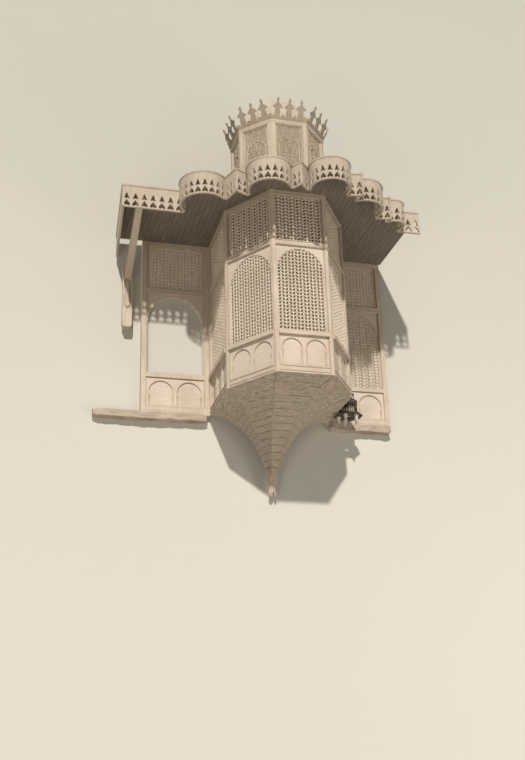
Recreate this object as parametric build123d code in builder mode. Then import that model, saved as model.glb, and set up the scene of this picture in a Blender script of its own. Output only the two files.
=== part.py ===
"""A timber bay window with turned lattice screens, two flanking screens, a scalloped canopy and a crown.

The wall's outer face is the plane Y = 0 and the bay projects towards -Y. X runs along the wall and
Z is up. The origin lies on the back face of the ledger that fixes the bay's floor to the wall.
Millimetres.
"""
from build123d import *
from math import cos, hypot, radians, sin, sqrt
import os

os.makedirs("parts", exist_ok=True)

# Driving dimensions of the bay
front_width = 556.0
diagonal_width = 348.0  # along the wall
diagonal_depth = 514.0
return_depth = 767.0  # how far the two faces square to the wall stand out
bay_height = 1930.0  # from the base rail's underside to the canopy
base_rail_height = 70.0
parapet_height = 315.0  # panel between the base rail and the sill rail
sill_rail_height = 43.0
mid_rail_bottom = 1335.0
rail_height = 45.0  # top and middle rails
post_width = 32.0  # what a corner post shows on each of its two faces
post_depth = 60.0
rail_depth = 50.0
rail_setback = 6.0  # rails lie behind the face of the posts
moulding_projection = 14.0  # the sill rail's nosing

# Screens, boards and panels
screen_thickness = 14.0
screen_setback = 26.0
lattice_bar = 15.0
lattice_pitch = 160.0
board_thickness = 26.0
board_setback = 18.0
arch_margin = 20.0  # board left beside the arch
arch_crown_gap = 30.0  # board left over the arch
blind_arch_depth = 9.0
blind_arch_margin = 22.0
blind_arch_mullion = 26.0
blind_arch_foot = 34.0
blind_arch_rise_gap = 34.0

# Flanking screens, set in the wall's opening
flank_width = 704.0
flank_depth = 70.0
flank_post = 50.0
sill_beam_height = 78.0
sill_beam_depth = 130.0
sill_beam_projection = 35.0
sill_beam_reach = 480.0  # past the left screen
sill_beam_inner_gap = 22.0

# Floor and its ledger
ledger_height = 75.0
ledger_end_gap = 12.0
ledger_depth = 70.0
ledger_top = 30.0
floor_thickness = 25.0

# Corbel
corbel_height = 820.0
corbel_neck_scale = 0.05  # plan scale at the tip
corbel_board_thickness = 26.0
corbel_courses = 9
corbel_boarded_height = 470.0
corbel_rib_width = 40.0
corbel_rib_proud = 10.0
corbel_rib_sink = 12.0
pendant_neck_scale = 0.085  # plan scales of the carved pendant, from its neck to its end
pendant_knop_scale = 0.115
pendant_foot_scale = 0.06
pendant_end_scale = 0.02

# Canopy
left_wing_depth = 1030.0
right_wing_depth = 1120.0
canopy_left = 1690.0
canopy_left_at_wall = 1610.0
canopy_right = 1350.0
deck_thickness = 28.0
valance_height = 222.0  # under the deck
valance_thickness = 20.0
outer_left_bow = ((-1090.0, -left_wing_depth), (-748.0, -1343.0))
inner_left_bow = ((-545.0, -1463.0), (-178.0, -1671.0))
front_bow = ((-10.0, -1671.0), (374.0, -1665.0))
inner_right_bow = ((489.0, -1579.0), (794.0, -1314.0))
outer_right_bow = ((930.0, -1262.0), (1100.0, -right_wing_depth))
outer_left_bulge = 0.53  # sagitta of a bow over its chord
inner_left_bulge = 0.57
front_bulge = 0.68
inner_right_bulge = 0.42
outer_right_bulge = 0.6
outer_left_ridge = (-685.0, -1530.0)  # tips of the pointed folds between the bows
inner_left_ridge = (-109.0, -1773.0)
inner_right_ridge = (533.0, -1699.0)
outer_right_ridge = (955.0, -1341.0)

# Wall bracket under the left wing
bracket_centre_x = 1490.0
bracket_post_width = 100.0
bracket_post_depth = 62.0
bracket_post_top = 1590.0
bracket_post_bottom = 890.0
bracket_foot_chamfer = 40.0
bracket_recess_width = 46.0
bracket_recess_depth = 22.0
bracket_recess_bottom = 1090.0
bracket_recess_top = 1400.0
strut_width = 72.0
strut_thickness = 62.0
strut_foot_z = 1430.0
strut_reach = 940.0

# Crown
crown_side = 380.0
crown_centre_y = 640.0
crown_height = 925.0  # from the deck to the cornice's top
crown_post = 42.0
crown_post_depth = 40.0
crown_board_thickness = 22.0
crown_board_setback = 10.0
crown_panel_margin = 20.0
crown_panel_sink = 8.0
crown_plinth_height = 60.0
crown_cornice_height = 36.0
crown_cornice_projection = 10.0
crown_cornice_inset = 44.0
crest_height = 235.0
crest_thickness = 16.0
crest_lean = 25.0
crests_per_side = 3
crest_band_height = 44.0
crest_arm_span = 106.0
crest_foot = 64.0
crest_stem = 48.0
crest_finial = 17.0
dome_rise = 480.0
dome_shell = 20.0

# Lantern
lantern_x = 750.0
lantern_y = 300.0
lantern_plate_z = -30.0
lantern_plate_radius = 140.0
lantern_plate_thickness = 14.0
lantern_plate_hole = 50.0
lantern_body_radius = 96.0
lantern_body_height = 146.0
lantern_box_radius = 62.0
lantern_box_height = 80.0
lantern_collar_radius = 54.0
lantern_collar_height = 16.0
lantern_neck_height = 168.0
lantern_neck_radius = 17.0
lantern_cap_radius = 27.0
lantern_cap_height = 22.0
lantern_cap_seat = 8.0
lantern_wall = 5.0
lamp_radius = 24.0
lamp_foot_radius = 9.0
lamp_height = 66.0
lamp_circle = 98.0
lamp_count = 5
rod_radius = 6.0

# Worked-out levels
sill_rail_bottom = base_rail_height + parapet_height
sill_rail_top = sill_rail_bottom + sill_rail_height
mid_rail_top = mid_rail_bottom + rail_height
top_rail_bottom = bay_height - rail_height
deck_top = bay_height + deck_thickness
half_width = front_width / 2 + diagonal_width
front_depth = return_depth + diagonal_depth

# Plan of the bay from the wall on the left, round the front, to the wall on the right
plan = [
    (-half_width, 0),
    (-half_width, -return_depth),
    (-front_width / 2, -front_depth),
    (front_width / 2, -front_depth),
    (half_width, -return_depth),
    (half_width, 0),
]


def export(part, name):
    """Label a finished part and write it as one STEP file."""
    part.label = name
    export_step(part, f"parts/{name}.step")


def face_plane(start, end, level=0.0):
    """Plane of an upright face: local x runs from start to end, y is up and z points outwards."""
    length = hypot(end[0] - start[0], end[1] - start[1])
    along = Vector((end[0] - start[0]) / length, (end[1] - start[1]) / length, 0)
    outwards = along.cross(Vector(0, 0, 1))
    return Plane(origin=(start[0], start[1], level), x_dir=along, z_dir=outwards)


def clear_span(index):
    """Start and end of the space between the posts of one face, measured along the face."""
    length = hypot(plan[index + 1][0] - plan[index][0], plan[index + 1][1] - plan[index][1])
    return post_width, length - post_width


def inset_polygon(points, distance):
    """Corners of an open chain of edges moved inwards, with the ends kept on the wall line."""
    moved = []
    for index, (x, y) in enumerate(points):
        if index in (0, len(points) - 1):
            moved.append((x - distance if x > 0 else x + distance, y))
            continue
        before = points[index - 1]
        after = points[index + 1]
        first = Vector(x - before[0], y - before[1], 0).normalized()
        second = Vector(after[0] - x, after[1] - y, 0).normalized()
        inwards = (second - first).normalized()
        reach = distance / cos(radians(first.get_angle(second) / 2))
        moved.append((x + inwards.X * reach, y + inwards.Y * reach))
    return moved


faces = range(len(plan) - 1)


def mitred_boards(first, corner, second, thickness):
    """Outline of two boards that meet in a mitre at an outer corner and end square."""
    tip = Vector(*corner, 0)
    to_first = Vector(*first, 0) - tip
    to_second = Vector(*second, 0) - tip
    half_angle = radians(to_first.get_angle(to_second) / 2)
    bisector = (to_first.normalized() + to_second.normalized()).normalized()
    inwards = bisector * (thickness / sin(half_angle))
    across_first = inwards - to_first.normalized() * inwards.dot(to_first.normalized())
    across_second = inwards - to_second.normalized() * inwards.dot(to_second.normalized())
    steps = [Vector(0, 0, 0), to_first, to_first + across_first, inwards, to_second + across_second, to_second]
    return [((tip + step).X, (tip + step).Y) for step in steps]


def corner_post(before, corner, after, width, depth):
    """Outline of a mitred post in a corner, given the corners before and after it."""
    tip = Vector(*corner, 0)
    ends = [tip + (Vector(*end, 0) - tip).normalized() * width for end in (before, after)]
    return mitred_boards((ends[0].X, ends[0].Y), corner, (ends[1].X, ends[1].Y), depth)


# Corner posts: mitred posts at the four free corners and half posts at the wall
with BuildPart() as posts:
    with BuildSketch() as post_sections:
        for index in range(1, len(plan) - 1):
            with BuildLine():
                outline = corner_post(plan[index - 1], plan[index], plan[index + 1], post_width, post_depth)
                Polyline(*outline, close=True)
            make_face()
        for side in (-1, 1):
            with Locations((side * (half_width - post_depth / 2), -post_width / 2)):
                Rectangle(post_depth, post_width)
    extrude(amount=bay_height)
export(posts.part, "bay_posts")


def rail_ring(name, bottom, height, setback, depth):
    """One rail in each face, butted between the posts."""
    with BuildPart() as rails:
        for index in faces:
            start, end = clear_span(index)
            with BuildSketch(face_plane(plan[index], plan[index + 1], bottom).offset(-setback)):
                with Locations(((start + end) / 2, height / 2)):
                    Rectangle(end - start, height)
            extrude(amount=-depth)
    export(rails.part, name)


rail_ring("bay_top_rails", top_rail_bottom, rail_height, rail_setback, rail_depth)
rail_ring("bay_mid_rails", mid_rail_bottom, rail_height, rail_setback, rail_depth)
rail_ring("bay_sill_rails", sill_rail_bottom, sill_rail_height, -moulding_projection, rail_depth)
rail_ring("bay_base_rails", 0.0, base_rail_height, rail_setback, rail_depth)


def upright_bars(width, height):
    """Add the uprights of a lattice that fills a width and height."""
    cells = max(2, round(width / lattice_pitch))
    with Locations((width / 2, height / 2)):
        with GridLocations((width - lattice_bar) / cells, 1, cells + 1, 1):
            Rectangle(lattice_bar, height)


def cross_bars(width, height):
    """Add the crossbars of a lattice that fills a width and height."""
    cells = max(2, round(height / lattice_pitch))
    with Locations((width / 2, height / 2)):
        with GridLocations(1, (height - lattice_bar) / cells, 1, cells + 1):
            Rectangle(width, lattice_bar)


def upper_screen(name, plane, width, height):
    """Uprights in front of crossbars, fused where they cross."""
    with BuildPart() as screen:
        with BuildSketch(plane.offset(-screen_setback)):
            upright_bars(width, height)
        extrude(amount=-screen_thickness / 2)
        with BuildSketch(plane.offset(-screen_setback - screen_thickness / 2)):
            cross_bars(width, height)
        extrude(amount=-screen_thickness / 2)
    export(screen.part, name)


def arch_outline(width, height, margin, crown_gap):
    """Add the outline of a round arch that stands on the lower edge of a panel."""
    radius = width / 2 - margin
    spring = height - crown_gap - radius
    with Locations((width / 2, spring / 2)):
        Rectangle(2 * radius, spring)
    with Locations((width / 2, spring)):
        Circle(radius)


def arch_screen(name, plane, width, height):
    """Board with an arch cut in it, and the lattice that fills the arch."""
    with BuildPart() as screen:
        with BuildSketch(plane.offset(-board_setback)):
            with Locations((width / 2, height / 2)):
                Rectangle(width, height)
            with BuildSketch(mode=Mode.PRIVATE) as opening:
                arch_outline(width, height, arch_margin, arch_crown_gap)
            add(opening.sketch, mode=Mode.SUBTRACT)
        extrude(amount=-board_thickness)
        for setback, bars in (
            (screen_setback, upright_bars),
            (screen_setback + screen_thickness / 2, cross_bars),
        ):
            with BuildSketch(plane.offset(-setback)):
                with BuildSketch(mode=Mode.PRIVATE) as filling:
                    arch_outline(width, height, arch_margin - lattice_bar / 2, arch_crown_gap - lattice_bar / 2)
                bars(width, height)
                add(filling.sketch, mode=Mode.INTERSECT)
            extrude(amount=-screen_thickness / 2)
    export(screen.part, name)


def parapet_panel(plane, width, height, arches):
    """Add a board with sunk blind arches to the part that is being built."""
    bay_width = (width - 2 * blind_arch_margin - (arches - 1) * blind_arch_mullion) / arches
    radius = bay_width / 2
    spring = height - blind_arch_rise_gap - radius
    with BuildSketch(plane.offset(-board_setback)) as board:
        with Locations((width / 2, height / 2)):
            Rectangle(width, height)
    extrude(board.sketch, amount=-board_thickness)
    with BuildSketch(plane.offset(-board_setback)) as recesses:
        for index in range(arches):
            centre = blind_arch_margin + radius + index * (bay_width + blind_arch_mullion)
            with Locations((centre, (spring + blind_arch_foot) / 2)):
                Rectangle(bay_width, spring - blind_arch_foot)
            with Locations((centre, spring)):
                Circle(radius)
    extrude(recesses.sketch, amount=-blind_arch_depth, mode=Mode.SUBTRACT)


face_names = ["left_return", "left_diagonal", "front", "right_diagonal", "right_return"]

for index, face_name in enumerate(face_names):
    start, end = clear_span(index)
    width = end - start
    upper_plane = face_plane(plan[index], plan[index + 1], mid_rail_top)
    arch_plane = face_plane(plan[index], plan[index + 1], sill_rail_top)
    upper_plane = upper_plane.shift_origin(upper_plane.from_local_coords(Vector(start, 0, 0)))
    arch_plane = arch_plane.shift_origin(arch_plane.from_local_coords(Vector(start, 0, 0)))
    upper_screen(f"upper_screen_{face_name}", upper_plane, width, top_rail_bottom - mid_rail_top)
    arch_screen(f"arch_screen_{face_name}", arch_plane, width, mid_rail_bottom - sill_rail_top)

with BuildPart() as parapets:
    for index in faces:
        start, end = clear_span(index)
        plane = face_plane(plan[index], plan[index + 1], base_rail_height)
        plane = plane.shift_origin(plane.from_local_coords(Vector(start, 0, 0)))
        parapet_panel(plane, end - start, parapet_height, 2 if index in (1, 2, 3) else 3)
export(parapets.part, "bay_parapets")

# Floor boards inside the posts
with BuildPart() as floor:
    with BuildSketch(Plane.XY.offset(ledger_top)):
        with BuildLine():
            Polyline(*inset_polygon(plan, post_depth), close=True)
        make_face()
    extrude(amount=floor_thickness)
export(floor.part, "bay_floor")


# Flanking screens
def flank_plane(side, level):
    """Face plane of one flanking screen, from its left end, at a level."""
    start = -half_width - flank_width if side < 0 else half_width
    return face_plane((start, 0), (start + flank_width, 0), level)


flank_clear = flank_width - 2 * flank_post

for side, side_name in ((-1, "left"), (1, "right")):
    with BuildPart() as frame:
        with BuildSketch(flank_plane(side, 0.0)):
            with Locations((flank_width / 2, bay_height / 2)):
                Rectangle(flank_width, bay_height)
            for bottom, top in (
                (base_rail_height, sill_rail_bottom),
                (sill_rail_top, mid_rail_bottom),
                (mid_rail_top, top_rail_bottom),
            ):
                with Locations((flank_width / 2, (bottom + top) / 2)):
                    Rectangle(flank_clear, top - bottom, mode=Mode.SUBTRACT)
        extrude(amount=-flank_depth)
    export(frame.part, f"{side_name}_flank_frame")
    upper = flank_plane(side, mid_rail_top)
    upper = upper.shift_origin(upper.from_local_coords(Vector(flank_post, 0, 0)))
    upper_screen(f"{side_name}_flank_upper_screen", upper, flank_clear, top_rail_bottom - mid_rail_top)
    with BuildPart() as parapet:
        plane = flank_plane(side, base_rail_height)
        plane = plane.shift_origin(plane.from_local_coords(Vector(flank_post, 0, 0)))
        parapet_panel(plane, flank_clear, parapet_height, 2)
    export(parapet.part, f"{side_name}_flank_parapet")

flank_light = mid_rail_bottom - sill_rail_top
left_arch_plane = flank_plane(-1, sill_rail_top)
left_arch_plane = left_arch_plane.shift_origin(left_arch_plane.from_local_coords(Vector(flank_post, 0, 0)))
right_arch_plane = flank_plane(1, sill_rail_top)
right_arch_plane = right_arch_plane.shift_origin(right_arch_plane.from_local_coords(Vector(flank_post, 0, 0)))
arch_screen("right_flank_arch_screen", right_arch_plane, flank_clear, flank_light)

# The left screen's arch is an open window: its board is only the head with the two cheeks
with BuildPart() as left_arch:
    with BuildSketch(left_arch_plane.offset(-board_setback)):
        with Locations((flank_clear / 2, flank_light / 2)):
            Rectangle(flank_clear, flank_light)
        with BuildSketch(mode=Mode.PRIVATE) as left_opening:
            arch_outline(flank_clear, flank_light, arch_margin, arch_crown_gap)
        add(left_opening.sketch, mode=Mode.SUBTRACT)
    extrude(amount=-board_thickness)
export(left_arch.part, "left_flank_arch_board")

# Rough beams under the flanking screens
for side, side_name in ((-1, "left"), (1, "right")):
    inner_end = half_width + sill_beam_inner_gap
    outer_end = half_width + flank_width + (sill_beam_reach if side < 0 else 0)
    with BuildPart() as beam:
        with BuildSketch(Plane.XY.offset(-sill_beam_height)):
            with Locations((side * (inner_end + outer_end) / 2, sill_beam_depth / 2 - sill_beam_projection)):
                Rectangle(outer_end - inner_end, sill_beam_depth)
        extrude(amount=sill_beam_height)
    export(beam.part, f"{side_name}_sill_beam")


# Corbel: every level is the bay's plan scaled towards the wall, along a quarter ellipse
def corbel_scale(drop):
    """Plan scale of the corbel at a depth under the base rail."""
    rise = 1 - drop / corbel_height
    return 1 - (1 - corbel_neck_scale) * sqrt(max(0.0, 1 - rise * rise))


def corbel_chain(drop, inset=0.0):
    """Corners of the corbel's plan at a depth, moved inwards by an inset."""
    scale = corbel_scale(drop)
    chain = [(x * scale, y * scale) for x, y in plan]
    return inset_polygon(chain, inset) if inset else chain


course_drops = [corbel_boarded_height * (course / corbel_courses) ** 1.6 for course in range(corbel_courses + 1)]


def stacked_solid(rings):
    """Solid with flat sides through level outlines, given as (points, level) from one end to the other."""
    levels = [[Vector(x, y, level) for x, y in points] for points, level in rings]
    skin = [Face(Wire.make_polygon(levels[0], close=True)), Face(Wire.make_polygon(levels[-1], close=True))]
    for first, second in zip(levels, levels[1:]):
        for index, corner in enumerate(first):
            after = (index + 1) % len(first)
            quad = [corner, first[after], second[after], second[index]]
            skin.append(Face(Wire.make_polygon(quad, close=True)))
    return Solid(Shell(skin))


# Boards: each course of each facet is a flat-sided strip between two levels
with BuildPart() as boarding:
    for index in faces:
        for upper_drop, lower_drop in zip(course_drops, course_drops[1:]):
            rings = []
            for drop in (upper_drop, lower_drop):
                outer = corbel_chain(drop)
                inner = corbel_chain(drop, corbel_board_thickness)
                rings.append(([outer[index], outer[index + 1], inner[index + 1], inner[index]], -drop))
            add(stacked_solid(rings))
export(boarding.part, "corbel_boarding")

# Ribs: one under each free corner, standing a little proud of the boards
with BuildPart() as ribs:
    for index in range(1, len(plan) - 1):
        rings = []
        for drop in course_drops:
            corner = Vector(*corbel_chain(drop)[index], 0)
            outwards = Vector(*plan[index], 0).normalized()
            across = outwards.cross(Vector(0, 0, 1)) * (corbel_rib_width / 2)
            nose = corner + outwards * corbel_rib_proud
            shoulder = corner - outwards * corbel_rib_sink
            rings.append(([(point.X, point.Y) for point in (nose, shoulder + across, shoulder - across)], -drop))
        add(stacked_solid(rings))
    with BuildPart(mode=Mode.PRIVATE) as boards_again:
        add(boarding.part)
    add(boards_again.part, mode=Mode.SUBTRACT)
export(ribs.part, "corbel_ribs")

# Ledger inside the corbel's mouth, fixed to the wall
ledger_half_length = corbel_chain(ledger_height - ledger_top, corbel_board_thickness)[-1][0] - ledger_end_gap
with BuildPart() as ledger:
    with BuildSketch(Plane.XY.offset(ledger_top - ledger_height)):
        with Locations((0, -ledger_depth / 2)):
            Rectangle(2 * ledger_half_length, ledger_depth)
    extrude(amount=ledger_height)
export(ledger.part, "wall_ledger")

# Carved pendant that closes the corbel at its tip
pendant_drop = corbel_height - corbel_boarded_height
pendant_profile = [
    (0.0, corbel_scale(corbel_boarded_height)),
    (0.26, pendant_neck_scale),
    (0.37, pendant_knop_scale * 0.87),
    (0.49, pendant_knop_scale),
    (0.63, pendant_knop_scale * 0.83),
    (0.77, pendant_foot_scale),
    (0.94, pendant_foot_scale * 0.6),
    (1.0, pendant_end_scale),
]
with BuildPart() as pendant:
    pendant_rings = []
    for share, scale in pendant_profile:
        level = -corbel_boarded_height - pendant_drop * share
        pendant_rings.append(([(x * scale, y * scale) for x, y in plan], level))
    add(stacked_solid(pendant_rings))
export(pendant.part, "corbel_pendant")


# Canopy
bows = [
    (outer_left_bow, outer_left_bulge),
    (inner_left_bow, inner_left_bulge),
    (front_bow, front_bulge),
    (inner_right_bow, inner_right_bulge),
    (outer_right_bow, outer_right_bulge),
]
ridges = [outer_left_ridge, inner_left_ridge, inner_right_ridge, outer_right_ridge]
folds = [(before[0][1], ridge, after[0][0]) for before, ridge, after in zip(bows, ridges, bows[1:])]
left_corner = (-canopy_left, -left_wing_depth)
right_corner = (canopy_right, -right_wing_depth)


def bow_arc(first, second, bulge):
    """Middle of the chord, tip and radius of the bow between two cusps."""
    chord = hypot(second[0] - first[0], second[1] - first[1])
    reach = chord * bulge
    radius = (chord * chord / 4 + reach * reach) / (2 * reach)
    middle = ((first[0] + second[0]) / 2, (first[1] + second[1]) / 2)
    tip = (middle[0] + (second[1] - first[1]) * bulge, middle[1] - (second[0] - first[0]) * bulge)
    return middle, tip, radius


def canopy_edge():
    """Draw the canopy's front edge from the left wing to the right, in the sketch line being built."""
    Line(left_corner, outer_left_bow[0])
    for (first, second), bulge in bows:
        ThreePointArc(first, bow_arc(first, second, bulge)[1], second)
    for first, ridge, second in folds:
        Polyline(first, ridge, second)
    Line(outer_right_bow[1], right_corner)


with BuildPart() as deck:
    with BuildSketch(Plane.XY.offset(bay_height)):
        with BuildLine():
            canopy_edge()
            Polyline(right_corner, (canopy_right, 0), (-canopy_left_at_wall, 0), left_corner)
        make_face()
    extrude(amount=deck_thickness)
export(deck.part, "canopy_deck")

valance_bottom = bay_height - valance_height


def strip_between(start, end):
    """Outline of an upright board on the inner side of a straight stretch of the canopy's edge."""
    length = hypot(end[0] - start[0], end[1] - start[1])
    inwards = (-(end[1] - start[1]) / length * valance_thickness, (end[0] - start[0]) / length * valance_thickness)
    return [start, end, (end[0] + inwards[0], end[1] + inwards[1]), (start[0] + inwards[0], start[1] + inwards[1])]


def valance(name, outlines):
    """Upright boards under the deck's edge, one for each plan outline."""
    with BuildPart() as boards:
        with BuildSketch(Plane.XY.offset(valance_bottom)):
            for outline in outlines:
                with BuildLine():
                    Polyline(*outline, close=True)
                make_face()
        extrude(amount=valance_height)
    export(boards.part, name)


side_slope = (canopy_left - canopy_left_at_wall) / left_wing_depth
side_width = valance_thickness * hypot(1, side_slope)
side_end_y = left_wing_depth - valance_thickness
side_end_x = -canopy_left_at_wall - side_slope * side_end_y
left_side = [
    (-canopy_left_at_wall, 0),
    (side_end_x, -side_end_y),
    (side_end_x + side_width, -side_end_y),
    (-canopy_left_at_wall + side_width, 0),
]
valance("valance_left_wing", [strip_between(left_corner, outer_left_bow[0])])
valance("valance_left_side", [left_side])
valance("valance_right_wing", [strip_between(outer_right_bow[1], right_corner)])

# Pointed folds: two boards that meet in a ridge
valance("valance_folds", [mitred_boards(*fold, valance_thickness) for fold in folds])

# Bows: boards bent round an arc
with BuildPart() as bow_boards:
    with BuildSketch(Plane.XY.offset(valance_bottom)):
        for (first, second), bulge in bows:
            middle, tip, radius = bow_arc(first, second, bulge)
            reach = hypot(tip[0] - middle[0], tip[1] - middle[1])
            share = (reach - radius) / reach
            centre = (middle[0] + (tip[0] - middle[0]) * share, middle[1] + (tip[1] - middle[1]) * share)
            shrink = (radius - valance_thickness) / radius
            inner = [
                (centre[0] + (x - centre[0]) * shrink, centre[1] + (y - centre[1]) * shrink)
                for x, y in (first, tip, second)
            ]
            with BuildLine():
                ThreePointArc(first, tip, second)
                Line(second, inner[2])
                ThreePointArc(inner[2], inner[1], inner[0])
                Line(inner[0], first)
            make_face()
    extrude(amount=valance_height)
export(bow_boards.part, "valance_bows")

# Bracket: a post on the wall with a carved hollow, and a strut up to the deck
with BuildPart() as bracket_post:
    with BuildSketch(Plane.XZ):
        with Locations((-bracket_centre_x, (bracket_post_top + bracket_post_bottom) / 2)):
            Rectangle(bracket_post_width, bracket_post_top - bracket_post_bottom)
    extrude(amount=bracket_post_depth)
    with BuildSketch(Plane.XZ.offset(bracket_post_depth)):
        with Locations((-bracket_centre_x, (bracket_recess_top + bracket_recess_bottom) / 2)):
            SlotOverall(bracket_recess_top - bracket_recess_bottom, bracket_recess_width, rotation=90)
    extrude(amount=-bracket_recess_depth, mode=Mode.SUBTRACT)
    foot_edges = bracket_post.edges().filter_by(Axis.X).group_by(Axis.Z)[0].sort_by(Axis.Y)[:1]
    chamfer(foot_edges, length=bracket_foot_chamfer)
export(bracket_post.part, "bracket_post")

strut_rise = (bay_height - strut_foot_z) / (strut_reach - bracket_post_depth)
with BuildPart() as strut:
    with BuildSketch(Plane.YZ.offset(-bracket_centre_x - strut_width / 2)):
        with BuildLine():
            Polyline(
                (-bracket_post_depth, strut_foot_z),
                (-strut_reach, bay_height),
                (-strut_reach + strut_thickness / strut_rise, bay_height),
                (-bracket_post_depth, strut_foot_z + strut_thickness),
                close=True,
            )
        make_face()
    extrude(amount=strut_width)
export(strut.part, "bracket_strut")

# Crown: an eight-sided drum on the deck
crown_half = crown_side / 2 + crown_side * sin(radians(45))
crown_plan = [
    (crown_half, -crown_centre_y - crown_side / 2),
    (crown_half, -crown_centre_y + crown_side / 2),
    (crown_side / 2, -crown_centre_y + crown_half),
    (-crown_side / 2, -crown_centre_y + crown_half),
    (-crown_half, -crown_centre_y + crown_side / 2),
    (-crown_half, -crown_centre_y - crown_side / 2),
    (-crown_side / 2, -crown_centre_y - crown_half),
    (crown_side / 2, -crown_centre_y - crown_half),
]
crown_top = deck_top + crown_height
crown_frame_height = crown_height - crown_cornice_height

with BuildPart() as crown_posts:
    with BuildSketch(Plane.XY.offset(deck_top)):
        for index, corner in enumerate(crown_plan):
            neighbours = (crown_plan[index - 1], crown_plan[(index + 1) % len(crown_plan)])
            with BuildLine():
                outline = corner_post(neighbours[0], corner, neighbours[1], crown_post, crown_post_depth)
                Polyline(*outline, close=True)
            make_face()
    extrude(amount=crown_frame_height)
export(crown_posts.part, "crown_posts")

crown_panel_width = crown_side - 2 * crown_post
crown_field_width = crown_panel_width - 2 * crown_panel_margin
crown_field_height = crown_frame_height - crown_plinth_height - 2 * crown_panel_margin


def crown_face(index, level):
    """Outward plane of one side of the crown, starting beside its first post."""
    plane = face_plane(crown_plan[index - 1], crown_plan[index], level)
    return plane.shift_origin(plane.from_local_coords(Vector(crown_post, 0, 0)))


with BuildPart() as crown_panels:
    for index in range(len(crown_plan)):
        plane = crown_face(index, deck_top)
        with BuildSketch(plane.offset(-crown_board_setback)):
            with Locations((crown_panel_width / 2, crown_frame_height / 2)):
                Rectangle(crown_panel_width, crown_frame_height)
        extrude(amount=-crown_board_thickness)
        with BuildSketch(plane.offset(-crown_board_setback)):
            field_middle = crown_plinth_height + crown_panel_margin + crown_field_height / 2
            with Locations((crown_panel_width / 2, field_middle)):
                Rectangle(crown_field_width, crown_field_height)
        extrude(amount=-crown_panel_sink, mode=Mode.SUBTRACT)
export(crown_panels.part, "crown_panels")

with BuildPart() as crown_cornice:
    with BuildSketch(Plane.XY.offset(crown_top - crown_cornice_height)):
        with Locations((0, -crown_centre_y)):
            RegularPolygon(crown_half + crown_cornice_projection, 8, major_radius=False, rotation=22.5)
            RegularPolygon(crown_half - crown_cornice_inset, 8, major_radius=False, rotation=22.5, mode=Mode.SUBTRACT)
    extrude(amount=crown_cornice_height)
export(crown_cornice.part, "crown_cornice")

# Cresting: a band with flat crests that leans outwards, its foot cut level with the cornice's top
crest_pitch = crown_side / crests_per_side
half_crest = [
    (crest_foot / 2, -crest_thickness),
    (crest_foot / 2, crest_band_height),
    (crest_stem / 2, 0.56 * crest_height),
    (crest_arm_span / 2, 0.58 * crest_height),
    (crest_arm_span / 2, 0.67 * crest_height),
    (crest_finial, 0.80 * crest_height),
    (crest_finial / 2, crest_height),
]
with BuildPart() as cresting:
    for index in range(len(crown_plan)):
        upright = face_plane(crown_plan[index - 1], crown_plan[index], crown_top)
        lean = radians(crest_lean)
        facing = upright.z_dir * cos(lean) - Vector(0, 0, 1) * sin(lean)
        leaning = Plane(origin=upright.origin, x_dir=upright.x_dir, z_dir=facing)
        with BuildSketch(leaning):
            for crest in range(crests_per_side):
                centre = crest_pitch * (crest + 0.5)
                right = [(centre + x, y) for x, y in half_crest]
                left = [(centre - x, y) for x, y in reversed(half_crest)]
                with BuildLine():
                    Polyline(*right, *left, close=True)
                make_face()
            with Locations((crown_side / 2, (crest_band_height - crest_thickness) / 2)):
                Rectangle(crown_side, crest_band_height + crest_thickness)
        extrude(amount=-crest_thickness)
    split(bisect_by=Plane.XY.offset(crown_top), keep=Keep.TOP)
export(cresting.part, "crown_cresting")

dome_profile = [(1.0, 0.0), (0.95, 0.31), (0.82, 0.57), (0.62, 0.78), (0.37, 0.93), (0.06, 1.0)]


def octagon(centre_x, centre_y, apothem):
    """Corners of an eight-sided outline with its sides square to the wall and at 45 degrees to it."""
    radius = apothem / cos(radians(22.5))
    angles = [radians(22.5 + 45 * corner) for corner in range(8)]
    return [(centre_x + radius * cos(angle), centre_y + radius * sin(angle)) for angle in angles]


def dome_rings(apothem, rise):
    """Level outlines of an eight-sided dome that stands on the crown."""
    return [(octagon(0, -crown_centre_y, apothem * share), crown_top + rise * lift) for share, lift in dome_profile]


dome_apothem = crown_half - crown_cornice_inset
with BuildPart() as dome:
    add(stacked_solid(dome_rings(dome_apothem, dome_rise)))
    add(stacked_solid(dome_rings(dome_apothem - dome_shell, dome_rise - dome_shell)), mode=Mode.SUBTRACT)
export(dome.part, "crown_dome")

# Lantern on its rod
lantern_place = (lantern_x, -lantern_y)
plate_top = lantern_plate_z + lantern_plate_thickness
body_top = plate_top + lantern_body_height
box_top = body_top + lantern_box_height
collar_top = box_top + lantern_collar_height
neck_top = collar_top + lantern_neck_height
cap_top = neck_top + lantern_cap_height

with BuildPart() as lantern_plate:
    with BuildSketch(Plane.XY.offset(lantern_plate_z)):
        with Locations(lantern_place):
            RegularPolygon(lantern_plate_radius, 8, rotation=22.5)
            RegularPolygon(lantern_plate_hole, 12, mode=Mode.SUBTRACT)
    extrude(amount=lantern_plate_thickness)
export(lantern_plate.part, "lantern_plate")

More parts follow.
